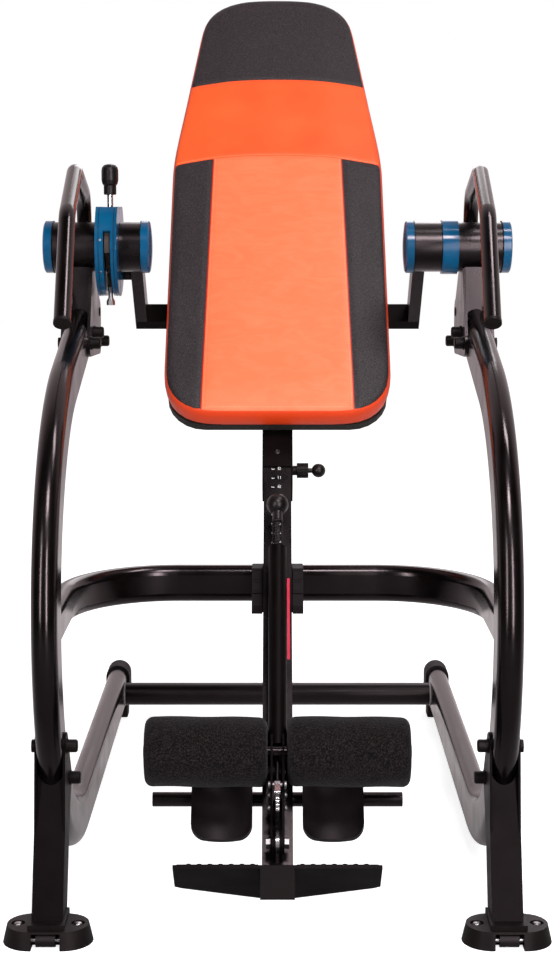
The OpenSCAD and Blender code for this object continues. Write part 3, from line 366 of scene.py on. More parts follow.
# turned cast iron: grey metal with a dull machined face
iron = plated_steel("turned_cast_iron", "#77777b", "#4d4d51", rough=0.42, pitch=0.0009)
lining = woven_lining()
block_lining = moulded_plastic("pressed_friction_block", "#3a322f", "#564b48", rough=0.7, grain=0.0016, depth=0.6)
ink = moulded_plastic("white_screen_ink", "#d8d8d8", "#e8e8e8", rough=0.6)
tape = moulded_plastic("red_vinyl_tape", "#c81f3c", "#d83050", rough=0.4)

finishes = {
    coat_cross: ["rear_crossbar"],
    coat_sleeve: ["boom", "swing_arm_left", "swing_arm_right", "pivot_stand_left", "pivot_stand_right"],
    coat: ["hoop_left", "hoop_right", "rest_bar", "handle_left", "handle_right", "heel_bar", "roller_axle"],
    coat_soft: ["post_left", "post_right", "bed_crossbar", "clamp_lever", "spine", "board_straps", "foot_stub",
                "foot_plate", "ratchet_bracket"],
    rubber: ["rear_shoes", "rest_bumper", "foot_treads"],
    plastic: ["foot_pads", "tube_plugs", "pin_barrel", "frame_bolts"],
    cap_plastic: ["end_caps"],
    plastic_grey: ["heel_cradle_left", "heel_cradle_right", "transport_roller_left", "transport_roller_right"],
    blue: ["outer_caps", "inner_caps", "spacer_ring", "caliper_outer", "caliper_inner"],
    ball: ["brake_knob", "height_pin", "release_knob"],
    chrome: ["brake_lever", "ratchet_sector", "pawl"],
    zinc: ["roller_pins", "pivot_axles", "brake_bolts", "clamp_bolt", "pawl_pin"],
    spring_steel: ["release_spring", "release_rod"],
    bronze: ["pivot_bushes"],
    iron: ["brake_drum"],
    lining: ["brake_band"],
    ply: ["back_board"],
}
for finish, names in finishes.items():
    for name in names:
        data = nodes[name].data
        data.materials.clear()
        data.materials.append(finish)


# ---- pieces -----------------------------------------------------------------

def piece(name, verts, faces, finish, smooth=True):
    """An object with one finish, made from points and faces."""
    mesh = bpy.data.meshes.new(name)
    mesh.from_pydata([tuple(v) for v in verts], [], [tuple(f) for f in faces])
    mesh.materials.append(finish)
    mesh.update()
    obj = bpy.data.objects.new(name, mesh)
    bpy.context.collection.objects.link(obj)
    if smooth:
        mesh.polygons.foreach_set("use_smooth", [True] * len(mesh.polygons))
    return obj


def outward(obj):
    """Merges doubles and turns every face outwards."""
    bm = bmesh.new()
    bm.from_mesh(obj.data)
    bmesh.ops.remove_doubles(bm, verts=bm.verts, dist=1e-6)
    bmesh.ops.recalc_face_normals(bm, faces=bm.faces)
    bm.to_mesh(obj.data)
    bm.free()
    return obj


def evaluated(obj):
    """The object with its modifiers worked in, as a plain mesh."""
    deps = bpy.context.evaluated_depsgraph_get()
    mesh = bpy.data.meshes.new_from_object(obj.evaluated_get(deps))
    obj.modifiers.clear()
    obj.data = mesh
    return obj


def outline_of(node, smooth_steps=3, spacing=16 * MM):
    """The outline of a flat bed node seen from the front, smoothed, as points across and up the bed."""
    p = bed_points(node)
    front = p[p[:, 1] < p[:, 1].min() + 0.1 * MM][:, [0, 2]]
    front = np.unique(front.round(5), axis=0)
    c = front.mean(axis=0)
    ring = front[np.argsort(np.arctan2(front[:, 1] - c[1], front[:, 0] - c[0]))]
    # long edges get points of their own, so that smoothing rounds the corners only
    out = []
    for a, b in zip(ring, np.roll(ring, -1, axis=0)):
        n = max(1, int(np.linalg.norm(b - a) / spacing))
        out += [a + (b - a) * k / n for k in range(n)]
    ring = np.array(out)
    for _ in range(smooth_steps):
        ring = (np.roll(ring, 1, axis=0) + 2 * ring + np.roll(ring, -1, axis=0)) / 4
    return ring


def inset_ring(ring, d):
    """The ring moved inwards by d."""
    along = np.roll(ring, -1, axis=0) - np.roll(ring, 1, axis=0)
    normal = np.stack([-along[:, 1], along[:, 0]], axis=1)
    normal /= np.linalg.norm(normal, axis=1)[:, None]
    return ring + normal * d


pad_low, pad_high = bed_box("back_pad")
pad_ring = outline_of("back_pad")
pad_front, pad_rear = pad_low[1], pad_high[1]
wall_seam = pad_front + 6.2 * MM


def pad_skin(profile, name, finish):
    """A closed skin round the pad: each row of the profile is an inset from the outline and a depth."""
    verts = [on_bed(x, y, z) for d, y in profile for x, z in inset_ring(pad_ring, d)]
    n = len(pad_ring)
    faces = [(r * n + i, r * n + (i + 1) % n, (r + 1) * n + (i + 1) % n, (r + 1) * n + i)
             for r in range(len(profile) - 1) for i in range(n)]
    faces.append(tuple(range(n - 1, -1, -1)))
    faces.append(tuple((len(profile) - 1) * n + i for i in range(n)))
    return outward(piece(name, verts, faces, finish))


SKIN_GRID, PAD_PRESSURE, MOST_RISE = 4.2 * MM, 4.0, 4.2 * MM
GROOVE_DEPTH, GROOVE_HALF = 1.8 * MM, 4.2 * MM


def padded_back():
    """The back pad: vinyl over firm foam, with a crowned face, a rounded edge and sewn channels."""
    # from the back of the wall to the face
    profile = [(0.012, pad_rear - 0.0004), (0.006, pad_rear - 0.001), (0.003, pad_rear - 0.006),
               (0.0012, pad_rear - 0.014), (0.0004, pad_rear - 0.024), (0.0006, wall_seam + 0.010),
               (0.0022, wall_seam + 0.004), (0.0042, wall_seam), (0.0058, wall_seam - 0.0016),
               (0.010, wall_seam - 0.0036), (0.018, wall_seam - 0.0047), (0.034, wall_seam - 0.0052)]
    obj = pad_skin(profile, "back_pad_cover", pad_vinyl(wall_seam))
    remesh = obj.modifiers.new("skin", "REMESH")
    remesh.mode = "VOXEL"
    remesh.voxel_size = SKIN_GRID
    evaluated(obj)
    swell(obj, PAD_PRESSURE, MOST_RISE, hold=lambda p: p[:, 1] > wall_seam - 0.8 * MM)
    # sewn channels are pressed in along the seams
    p = to_bed(points_of(obj))
    bowed = p[:, 2] + band_bow * p[:, 0] ** 2
    panel_edge = panel_half + panel_spread * (band_low - p[:, 2])
    to_seam = np.minimum(np.abs(bowed - band_low), np.abs(bowed - band_high))
    to_side = np.where(bowed < band_low, np.abs(np.abs(p[:, 0]) - panel_edge), FAR)
    groove = GROOVE_DEPTH * np.exp(-(np.minimum(to_seam, to_side) / GROOVE_HALF) ** 2)
    p[:, 1] += np.where(p[:, 1] < wall_seam, groove, 0)
    obj.data.vertices.foreach_set("co", from_bed(p).ravel())
    obj.data.update()
    obj.data.polygons.foreach_set("use_smooth", [True] * len(obj.data.polygons))
    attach(obj, "bed")
    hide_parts("back_pad")
    return obj


def swell(obj, pressure, cap, hold, frames=20, evening=60):
    """Lets the face swell as cloth under pressure, holds the walls, and evens and caps how far a point rises."""
    count = len(obj.data.vertices)
    rest = points_of(obj)
    held = hold(to_bed(rest))
    group = obj.vertex_groups.new(name="held")
    group.add([int(i) for i in np.nonzero(held)[0]], 1.0, "REPLACE")
    cloth = obj.modifiers.new("swell", "CLOTH")
    cloth.settings.use_pressure = True
    cloth.settings.uniform_pressure_force = pressure
    cloth.settings.effector_weights.gravity = 0
    cloth.settings.vertex_group_mass = "held"
    scene = bpy.context.scene
    cloth.point_cache.frame_start, cloth.point_cache.frame_end = 1, frames
    for f in range(1, frames + 1):
        scene.frame_set(f)
    evaluated(obj)
    scene.frame_set(1)
    front = np.array(-bed_back)
    rise = np.where(held, 0.0, np.clip((points_of(obj) - rest) @ front, 0, cap))
    # the foam under the cover evens the rise out
    ends = np.empty(len(obj.data.edges) * 2, dtype=np.int64)
    obj.data.edges.foreach_get("vertices", ends)
    a, b = ends.reshape(-1, 2).T
    degree = np.maximum(np.bincount(ends, minlength=count), 1)
    for _ in range(evening):
        total = np.bincount(a, rise[b], count) + np.bincount(b, rise[a], count)
        rise = np.where(held, 0.0, 0.5 * rise + 0.5 * total / degree)
    obj.data.vertices.foreach_set("co", (rest + rise[:, None] * front).ravel())
    obj.data.update()


def node_setup(name, inputs, build):
    """A Geometry Nodes group with named inputs; build makes its nodes and gives back the geometry."""
    tree = bpy.data.node_groups.new(name, "GeometryNodeTree")
    tree.interface.new_socket("Geometry", in_out="INPUT", socket_type="NodeSocketGeometry")
    for label, kind in inputs.items():
        tree.interface.new_socket(label, in_out="INPUT", socket_type=kind)
    tree.interface.new_socket("Geometry", in_out="OUTPUT", socket_type="NodeSocketGeometry")
    given = add(tree, "NodeGroupInput").outputs
    add(tree, "NodeGroupOutput", {"Geometry": build(tree, given)})
    return tree


def worked(obj, tree, values, body):
    """Runs a node setup on an object and leaves its result as a plain mesh that rides a body."""
    mod = obj.modifiers.new("setup", "NODES")
    mod.node_group = tree
    sockets = {s.name: s.identifier for s in tree.interface.items_tree if s.in_out == "INPUT"}
    for label, value in values.items():
        mod[sockets[label]] = value
    deps = bpy.context.evaluated_depsgraph_get()
    mesh = bpy.data.meshes.new_from_object(obj.evaluated_get(deps))
    name = obj.name
    bpy.data.objects.remove(obj)
    # the instanced pattern leaves an empty slot before its own finish
    finish = [m for m in mesh.materials if m][0]
    mesh.materials.clear()
    mesh.materials.append(finish)
    mesh.polygons.foreach_set("material_index", [0] * len(mesh.polygons))
    made = bpy.data.objects.new(name, mesh)
    bpy.context.collection.objects.link(made)
    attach(made, body)
    return made


def beads(name, paths, finish, body, pitch, length, radius):
    """Small round grains along paths, such as stitches or a weld's ripples, as one mesh."""
    curve = bpy.data.curves.new(name, "CURVE")
    curve.dimensions = "3D"
    for points in paths:
        line = curve.splines.new("POLY")
        line.points.add(len(points) - 1)
        for q, at in zip(line.points, points):
            q.co = (*at, 1)
    obj = bpy.data.objects.new(name, curve)
    bpy.context.collection.objects.link(obj)

    def build(tree, given):
        spots = add(tree, "GeometryNodeCurveToPoints", {"Curve": given["Geometry"], "Length": given["Pitch"]},
                    mode="LENGTH")
        grain = add(tree, "GeometryNodeMeshUVSphere", {"Segments": 8, "Rings": 6, "Radius": 1.0})
        soft = add(tree, "GeometryNodeSetShadeSmooth", {"Geometry": grain.outputs["Mesh"]})
        size = add(tree, "ShaderNodeCombineXYZ", {0: given["Radius"], 1: given["Radius"], 2: given["Half Length"]})
        put = add(tree, "GeometryNodeInstanceOnPoints", {"Points": spots.outputs["Points"],
                                                         "Instance": soft.outputs[0],
                                                         "Rotation": spots.outputs["Rotation"],
                                                         "Scale": size.outputs[0]})
        real = add(tree, "GeometryNodeRealizeInstances", {"Geometry": put.outputs[0]})
        return add(tree, "GeometryNodeSetMaterial", {"Geometry": real.outputs[0], "Material": finish}).outputs[0]

    tree = node_setup(name + "_row", {"Pitch": "NodeSocketFloat", "Half Length": "NodeSocketFloat",
                                      "Radius": "NodeSocketFloat"}, build)
    return worked(obj, tree, {"Pitch": pitch, "Half Length": length / 2, "Radius": radius}, body)


def copies(name, pattern, spots, body):
    """Copies of a small pattern object at places, each turned so that its z points along a direction."""
    mesh = bpy.data.meshes.new(name)
    mesh.from_pydata([tuple(at) for at, way in spots], [], [])
    facing = mesh.attributes.new("facing", "FLOAT_VECTOR", "POINT")
    for i, (at, way) in enumerate(spots):
        facing.data[i].vector = way
    obj = bpy.data.objects.new(name, mesh)
    bpy.context.collection.objects.link(obj)

    def build(tree, given):
        way = add(tree, "GeometryNodeInputNamedAttribute", {"Name": "facing"}, data_type="FLOAT_VECTOR")
        turn = add(tree, "FunctionNodeAlignRotationToVector", {"Vector": way.outputs["Attribute"]}, axis="Z")
        source = add(tree, "GeometryNodeObjectInfo", {"Object": given["Pattern"]})
        put = add(tree, "GeometryNodeInstanceOnPoints", {"Points": given["Geometry"],
                                                         "Instance": source.outputs["Geometry"],
                                                         "Rotation": turn.outputs[0]})
        return add(tree, "GeometryNodeRealizeInstances", {"Geometry": put.outputs[0]}).outputs[0]

    tree = node_setup(name + "_copies", {"Pattern": "NodeSocketObject"}, build)
    return worked(obj, tree, {"Pattern": pattern}, body)


STITCH_PITCH, STITCH_LENGTH, STITCH_RADIUS = 4.4 * MM, 3.0 * MM, 0.55 * MM


def pad_seams(pad):
    """Stitch rows along the lower edge of the band, round the centre panel and along its lower end."""
    skin = BVHTree.FromPolygons([v.co for v in pad.data.vertices], [p.vertices for p in pad.data.polygons])

    def row(points):
        hits = [skin.ray_cast(on_bed(x, pad_front - 0.05, z), bed_back)[0] for x, z in points]
        return [q for q in hits if q is not None]

    def panel_at(z):
        return panel_half + panel_spread * (band_low - z)

    across = np.interp(band_low, *width_table()) - 8 * MM
    paths = [row([(x, band_low + 3 * MM - band_bow * x * x) for x in np.linspace(-across, across, 90)])]
    for s in (-1, 1):
        zs = np.linspace(band_low - 12 * MM, pad_low[2] + 12 * MM, 120)
        paths.append(row([(s * (panel_at(z) - 4.8 * MM), z) for z in zs]))
    end = panel_at(pad_low[2]) - 6 * MM
    paths.append(row([(x, pad_low[2] + 10.5 * MM) for x in np.linspace(-end, end, 60)]))
    thread, t = blank("pale_orange_thread")
    finish_of(t, linear("#ff9468"), 0.6)
    made = beads("pad_stitching", [q for q in paths if len(q) > 2], thread, "bed", STITCH_PITCH, STITCH_LENGTH,
                 STITCH_RADIUS)


def width_table():
    """Half width of the pad against height up the bed."""
    right = pad_ring[pad_ring[:, 0] > 0]
    right = right[np.argsort(right[:, 1])]
    return right[:, 1], right[:, 0]


def turned(name, profile, centre, axis, finish, steps=64):
    """A shape turned about an axis: profile points are (along, radius), from one end to the other."""
    axis = Vector(axis).normalized()
    side = axis.orthogonal().normalized()
    up = axis.cross(side)
    centre = Vector(centre)
    verts, faces, rings = [], [], []
    for along, r in profile:
        # a point on the axis closes the shape
        spokes = 1 if r < 1e-7 else steps
        rings.append(range(len(verts), len(verts) + spokes))
        for k in range(spokes):
            w = FULL_TURN * k / steps
            verts.append(centre + axis * along + (side * math.cos(w) + up * math.sin(w)) * r)
    for r0, r1 in zip(rings, rings[1:]):
        if len(r0) == 1 and len(r1) == 1:
            continue
        for k in range(steps):
            j = (k + 1) % steps
            if len(r0) == 1:
                faces.append((r0[0], r1[k], r1[j]))
            elif len(r1) == 1:
                faces.append((r0[k], r1[0], r0[j]))
            else:
                faces.append((r0[k], r1[k], r1[j], r0[j]))
    return outward(piece(name, verts, faces, finish))


BORE_SHARE, LIP, LIP_STEPS, FACE_STEPS = 0.175, 12 * MM, 6, 16
SKIN_SLACK, DENT_DEPTH = 0.6 * MM, 1.1 * MM


def foam_sleeve(node, body):
    """A foam ankle roller: a soft sleeve with rounded lips, dimpled where it grips the axle."""
    low, high = map(Vector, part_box(node))
    centre = (low + high) / 2
    half = (high.x - low.x) / 2
    r = (high.z - low.z) / 2
    bore = r * BORE_SHARE
    end = [(-half + 10 * MM, bore), (-half + 4 * MM, bore + 4 * MM), (-half + 1.2 * MM, bore + 12 * MM),
           (-half, r - LIP - 6 * MM)]
    for k in range(LIP_STEPS + 1):
        w = math.pi / 2 * k / LIP_STEPS
        end.append((-half + LIP - LIP * math.cos(w), r - LIP + LIP * math.sin(w) - SKIN_SLACK))
    middle = []
    for k in range(1, FACE_STEPS):
        u = -1 + 2 * k / FACE_STEPS
        middle.append((u * (half - LIP), r - SKIN_SLACK * u * u))
    profile = end + middle + [(-along, radius) for along, radius in reversed(end)]
    obj = turned(node + "_sleeve", profile, centre, (1, 0, 0), foam, steps=96)
    # shallow dents from use, fixed by a smooth rule of place
    bm = bmesh.new()
    bm.from_mesh(obj.data)
    bmesh.ops.holes_fill(bm, edges=bm.edges)
    for v in bm.verts:
        d = v.co - centre
        out = Vector((0, d.y, d.z))
        if out.length > r * 0.6:
            w = math.atan2(d.z, d.y)
            wave = math.sin(3 * w + 40 * d.x) * math.sin(25 * d.x + 2 * w)
            v.co += out.normalized() * (DENT_DEPTH * wave - SKIN_SLACK)
    bmesh.ops.recalc_face_normals(bm, faces=bm.faces)
    bm.to_mesh(obj.data)
    bm.free()
    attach(obj, body)
    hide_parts(node)


pad_seams(padded_back())
foam_sleeve("foam_roller_left", "ankle_left")
foam_sleeve("foam_roller_right", "ankle_right")


# ---- markings ------------------------------------------------------------------

# the seven strokes of a figure, which of them each figure has, and where each lies
SEGMENTS = {0: "abcdef", 1: "bc", 2: "abged", 3: "abgcd", 4: "fgbc", 5: "afgcd", 6: "afgecd", 7: "abc", 8: "abcdefg",
            9: "abcdfg"}
STROKES = {"a": (0, 1, 1, 0), "b": (1, 0.5, 0, 0.5), "c": (1, 0, 0, 0.5), "d": (0, 0, 1, 0), "e": (0, 0, 0, 0.5),
           "f": (0, 0.5, 0, 0.5), "g": (0, 0.5, 1, 0)}
BOX_FACES = ((0, 1, 2, 3), (7, 6, 5, 4), (0, 4, 5, 1), (1, 5, 6, 2), (2, 6, 7, 3), (3, 7, 4, 0))


def bars(name, boxes, depth, thick, finish, body):
    """Flat bars on a face of the bed: each box is its low corner and its size, across and up."""
    verts, faces = [], []
    for x, z, w, h in boxes:
        n = len(verts)
        for y in (depth, depth - thick):
            for dx, dz in ((0, 0), (w, 0), (w, h), (0, h)):
                verts.append(on_bed(x + dx, y, z + dz))
        faces += [tuple(n + i for i in face) for face in BOX_FACES]
    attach(outward(piece(name, verts, faces, finish, smooth=False)), body)


FIGURE_WIDE, FIGURE_HIGH, FIGURE_PITCH, PEN = 2.7 * MM, 4.8 * MM, 3.9 * MM, 0.75 * MM


def figure(value, x, z):
    """The strokes of a number, with its low left corner at x and z."""
    out = []
    for i, c in enumerate(str(value)):
        for k in SEGMENTS[int(c)]:
            u, v, w, h = STROKES[k]
            out.append((x + i * FIGURE_PITCH + u * FIGURE_WIDE - PEN / 2, z + v * FIGURE_HIGH - PEN / 2,
                        w * FIGURE_WIDE + PEN, h * FIGURE_HIGH + PEN))
    return out


boom_low, boom_high = bed_box("boom")
boom_face = boom_low[1]


MARKS, MARK_PITCH, FIRST_MARK, FIRST_FIGURE = 12, 18 * MM, -329 * MM, 10
PRINT_SINK = 0.02 * MM


def boom_scale():
    """White height scale on the boom, and the red limit stripe lower down."""
    boxes = []
    for k in range(MARKS):
        z = FIRST_MARK - MARK_PITCH * k
        boxes += [(-9.4 * MM, z, 4.2 * MM, 0.8 * MM), (-9.4 * MM, z, 0.8 * MM, 2.6 * MM),
                  (-6.0 * MM, z, 0.8 * MM, 2.0 * MM)]
        boxes += figure(k + FIRST_FIGURE, -1.6 * MM, z)
    depth = boom_face + PRINT_SINK
    bars("boom_scale", boxes, depth, 0.08 * MM, ink, "boom_slide")
    stripe = (15.0 * MM, -685 * MM, 4.2 * MM, 146 * MM)
    bars("boom_limit_stripe", [stripe], depth, 0.2 * MM, tape, "boom_slide")


boom_scale()


# ---- small fixings ----------------------------------------------------------------

def turned_pattern(name, profile, finish, steps=20):
    """A small turned part on the z axis at the origin, used as a pattern for copies."""
    return turned(name, profile, (0, 0, 0), (0, 0, 1), finish, steps)


def screw_head(name, radius, high, finish, recess=True, sides=24):
    """A low domed screw head, with its seat at z = 0 and, with a recess, a round socket in its top."""
    seat = -0.2 * MM
    top = [(0, radius), (high * 0.45, radius), (high * 0.85, radius * 0.86), (high, radius * 0.6)]
    if recess:
        top += [(high, radius * 0.42), (high * 0.45, radius * 0.40), (high * 0.45, 0)]
    else:
        top += [(high * 1.02, 0)]
    return turned_pattern(name, [(seat, 0), (seat, radius)] + top, finish, sides)


def nut(name, radius, high, finish):
    """A hexagon nut with a chamfered top and the end of its bolt."""
    profile = [(0, 0), (0, radius), (high * 0.8, radius), (high, radius * 0.9), (high, radius * 0.55),
               (high * 1.4, radius * 0.5), (high * 1.45, 0)]
    return turned_pattern(name, profile, finish, 6)


def fixings():
    """Screws and nuts, each kind made once and copied to its places."""
    dark = moulded_plastic("blackened_steel_screw", "#141112", "#2a2526", rough=0.35, shine=0.6)
    pan = screw_head("pan_screw", 4.6 * MM, 1.6 * MM, dark)
    bright = nut("small_nut", 3.9 * MM, 3.2 * MM, zinc)
    dome = screw_head("dome_screw", 6.0 * MM, 3.4 * MM, zinc, recess=False, sides=28)
    # the screw that holds the slide bush in the spine
    copies("spine_screw", pan, [(on_bed(0, bed_box("spine")[0][1], -0.295), -bed_back)], "bed")
    # nuts on the yoke of the ankle clamp, whose plates are 3 mm inside the pin's ends
    plate = bed_box("pawl_pin")[1][0] - 3 * MM
    bolts = ((0.121, -0.938), (0.128, -0.955))
    copies("yoke_nuts", bright, [(on_bed(s * plate, y, z), (s, 0, 0)) for s in (-1, 1) for y, z in bolts], "clamp")
    # two screws in the counterbores of each foot pad, either side of its transport roller
    wheel_low, wheel_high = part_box("transport_roller_right")
    middle = (wheel_low[0] + wheel_high[0]) / 2
    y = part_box("foot_pads")[0][1] + 42.5 * MM
    spots = [((s * middle + k * 43 * MM, y, 23.2 * MM), (0, 0, 1)) for s in (-1, 1) for k in (-1, 1)]
    copies("foot_screws", dome, spots, "frame")
    # screws through the straps into the board
    behind = bed_box("board_straps")[1][1]
    spots = [(on_bed(s * 0.110, behind, z), bed_back) for s in (-1, 1) for z in (-0.190, 0.110, 0.280)]
    copies("strap_screws", pan, spots, "bed")
    for pattern in (pan, bright, dome):
        bpy.data.objects.remove(pattern)


fixings()


# ---- welds, rims and mouldings -------------------------------------------------

def arc(centre, x, r, start, stop, count):
    """Points on a circle round an axis across the machine, from one angle to another, in degrees."""
    return [Vector((x, centre[1] + r * math.cos(math.radians(w)), centre[2] + r * math.sin(math.radians(w))))
            for w in np.linspace(start, stop, count)]


def welds():
    """Rippled weld beads where tubes and plates meet."""
    # under the sleeves, where the stands' front faces meet them, and down each stand's outer seam
    sleeve_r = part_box("pivot_stand_right")[1][2] - pivot.z
    front = -20.6 * MM
    under = pivot.z - math.sqrt(sleeve_r ** 2 - front ** 2)
    low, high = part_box("hoop_right")
    seam = high[0] - 9 * MM
    wobble = [seam + 1.2 * MM * math.sin(k * 1.9) for k in range(17)]
    paths = []
    for s in (-1, 1):
        paths.append([Vector((s * x, front, under)) for x in np.linspace(low[0] + 1 * MM, high[0] - 1 * MM, 12)])
        paths.append([Vector((s * x, front, under - (3 + 4 * k) * MM)) for k, x in enumerate(wobble)])
    beads("stand_welds", paths, weld, "frame", 3.4 * MM, 3.8 * MM, 1.9 * MM)
    low, high = map(Vector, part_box("rear_crossbar"))
    r = (high.z - low.z) / 2 + 0.4 * MM
    rounds = [arc((low + high) / 2, s * (high.x - 0.8 * MM), r, 0, 360, 64) for s in (-1, 1)]
    beads("crossbar_welds", rounds, weld, "frame", 2.8 * MM, 3.4 * MM, 1.6 * MM)
    y, z = boom_face - 0.4 * MM, bed_box("foot_plate")[1][2] + 0.6 * MM
    line = [on_bed(x, y, z) for x in np.linspace(boom_low[0] + 2 * MM, boom_high[0] - 2 * MM, 14)]
    beads("plate_welds", [line], weld, "boom_slide", 2.6 * MM, 3.2 * MM, 1.3 * MM)


def ring_band(name, loop_in, loop_out, x0, x1, finish, body):
    """A closed band of four walls between two outlines, each a list of places across the axis."""
    n = len(loop_in)
    rows = [(x0, loop_in), (x0, loop_out), (x1, loop_out), (x1, loop_in)]
    verts = [(x, y, z) for x, loop in rows for y, z in loop]
    faces = [(r * n + i, r * n + (i + 1) % n, ((r + 1) % 4) * n + (i + 1) % n, ((r + 1) % 4) * n + i)
             for r in range(4) for i in range(n)]
    obj = outward(piece(name, verts, faces, finish))
    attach(obj, body)
    return obj


def round_loop(r, flat=None, count=96, centre=pivot):
    """A circle round an axis across the machine, cut flat at the given height above it."""
    out = []
    for k in range(count):
        w = FULL_TURN * k / count
        z = r * math.sin(w)
        out.append((centre.y + r * math.cos(w), centre.z + (min(z, flat) if flat else z)))
    return out


SEAL_INNER, SEAL_OUTER, SEAL_WIDE = 40.9 * MM, 43.3 * MM, 1.4 * MM
LINE_WIDE, LIP_WIDE = 0.9 * MM, 1.6 * MM


def rims():
    """Dark seals between the sleeves and their caps, and a line and a lip round each half of the brake housing."""
    sleeve_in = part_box("swing_arm_right")[0][0]
    sleeve_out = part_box("pivot_stand_right")[1][0]
    for side, s in (("left", -1), ("right", 1)):
        for kind, x, way, body in (("inner", sleeve_in, 1, "bed"), ("outer", sleeve_out, -1, "frame")):
            ring_band(f"{kind}_seal_{side}", round_loop(SEAL_INNER), round_loop(SEAL_OUTER), s * x,
                      s * (x + way * SEAL_WIDE), plastic, body)
    # the stud stands out past the inner half's disc, which is 10 mm thick
    for kind, to_line, to_edge, lip in (("outer", 5.5 * MM, 0, LIP_WIDE), ("inner", 4.5 * MM, 10 * MM, -LIP_WIDE)):
        low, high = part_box(f"caliper_{kind}")
        r, flat = -low[1], high[2] - pivot.z

        def rim(name, inside, outside, x, wide, finish):
            inner, outer = round_loop(r - inside, flat - inside), round_loop(r + outside, flat + outside)
            ring_band(name, inner, outer, x, x + wide, finish, "bed")

        rim(f"{kind}_housing_line", 0.5 * MM, 0.25 * MM, low[0] + to_line, LINE_WIDE, plastic)
        rim(f"{kind}_housing_lip", 3 * MM, 0.5 * MM, low[0] + to_edge, lip, blue)


BLOCK_INNER, BLOCK_OUTER, BLOCK_FROM, BLOCK_TO, BLOCK_STEPS = 46.5 * MM, 69 * MM, 159.0, 187.0, 9
STUD_BEHIND, STUD_R, BUFFER_R = 72 * MM, 5.6 * MM, 7.4 * MM
HOUSING_SCREWS = (171.0, 209.0)


def brake_details():
    """The friction block that shows in the slot, the rubber buffer on the stud, and two small screws."""
    low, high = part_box("brake_band")
    n = BLOCK_STEPS
    verts = [q for x in (low[0] + 0.2 * MM, high[0] - 0.2 * MM) for r in (BLOCK_INNER, BLOCK_OUTER)
             for q in arc(pivot, x, r, BLOCK_FROM, BLOCK_TO, n)]
    faces = [(0, n, 3 * n, 2 * n), (n - 1, 3 * n - 1, 4 * n - 1, 2 * n - 1)]
    for i in range(n - 1):
        faces += [(i, i + 1, n + i + 1, n + i), (2 * n + i, 3 * n + i, 3 * n + i + 1, 2 * n + i + 1),
                  (i, 2 * n + i, 2 * n + i + 1, i + 1), (n + i, n + i + 1, 3 * n + i + 1, 3 * n + i)]
    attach(outward(piece("friction_block", verts, faces, block_lining, smooth=False)), "bed")
    stud = on_bed(0, STUD_BEHIND, 0)
    stud_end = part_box("caliper_inner")[1][0]
    ring_band("stud_buffer", round_loop(STUD_R, count=24, centre=stud), round_loop(BUFFER_R, count=24, centre=stud),
              stud_end - 13.6 * MM, stud_end - 0.4 * MM, rubber, "bed")
    head = screw_head("housing_screw", 2.1 * MM, 0.9 * MM, zinc, recess=False, sides=16)
    low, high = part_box("caliper_outer")
    spots = []
    for w in map(math.radians, HOUSING_SCREWS):
        way = Vector((0, math.cos(w), math.sin(w)))
        spots.append((Vector((low[0] + 9 * MM, pivot.y, pivot.z)) + way * -low[1], way))
    copies("housing_screws", head, spots, "bed")
    bpy.data.objects.remove(head)


CHEEK_INSIDE, CHEEK_HIGH = 24.3 * MM, 46 * MM
FRAME_HIGH, FRAME_PITCH, FRAME_PEN, FRAME_MARGIN = 18 * MM, 21.5 * MM, 1.4 * MM, 1.5 * MM


def bumper_faces():
    """The raised upper pad of each bumper cheek, with two moulded frames on it."""
    low, high = bed_box("rest_bumper")
    wide = high[0] - 0.6 * MM - CHEEK_INSIDE
    p = bed_points("rest_bumper")
    top = p[p[:, 1] < low[1] + 0.5 * MM][:, 2].max() - 1.2 * MM
    blocks, frames = [], []
    for left in (-CHEEK_INSIDE - wide, CHEEK_INSIDE):
        blocks.append((left, top - CHEEK_HIGH, wide, CHEEK_HIGH))
        for k in range(2):
            x, z = left + FRAME_MARGIN, top + 0.5 * MM - FRAME_PITCH * (k + 1)
            w, h, pen = wide - 2 * FRAME_MARGIN, FRAME_HIGH, FRAME_PEN
            frames += [(x, z, w, pen), (x, z + h - pen, w, pen), (x, z + pen, pen, h - 2 * pen),
                       (x + w - pen, z + pen, pen, h - 2 * pen)]
    bars("bumper_cheek_pads", blocks, low[1] + 0.2 * MM, 2.6 * MM, rubber, "frame")
    bars("bumper_cheek_frames", frames, low[1] - 2.3 * MM, 1.0 * MM, rubber, "frame")


welds()
rims()
brake_details()
bumper_faces()


# ---- room, light and camera ---------------------------------------------------

FLOOR_HALF, FLOOR_TONE, FLOOR_DIMMING, FLOOR_IN_GLOSS = 14.0, 0.8, -0.6, 0.5
DIM_ROOM, WHITE, BACKDROP_IN_GLOSS = 0.10, 1.0, 0.9
FLOOR_CAST, BACKDROP_CAST = "#f2dce0", "#f0dfe2"


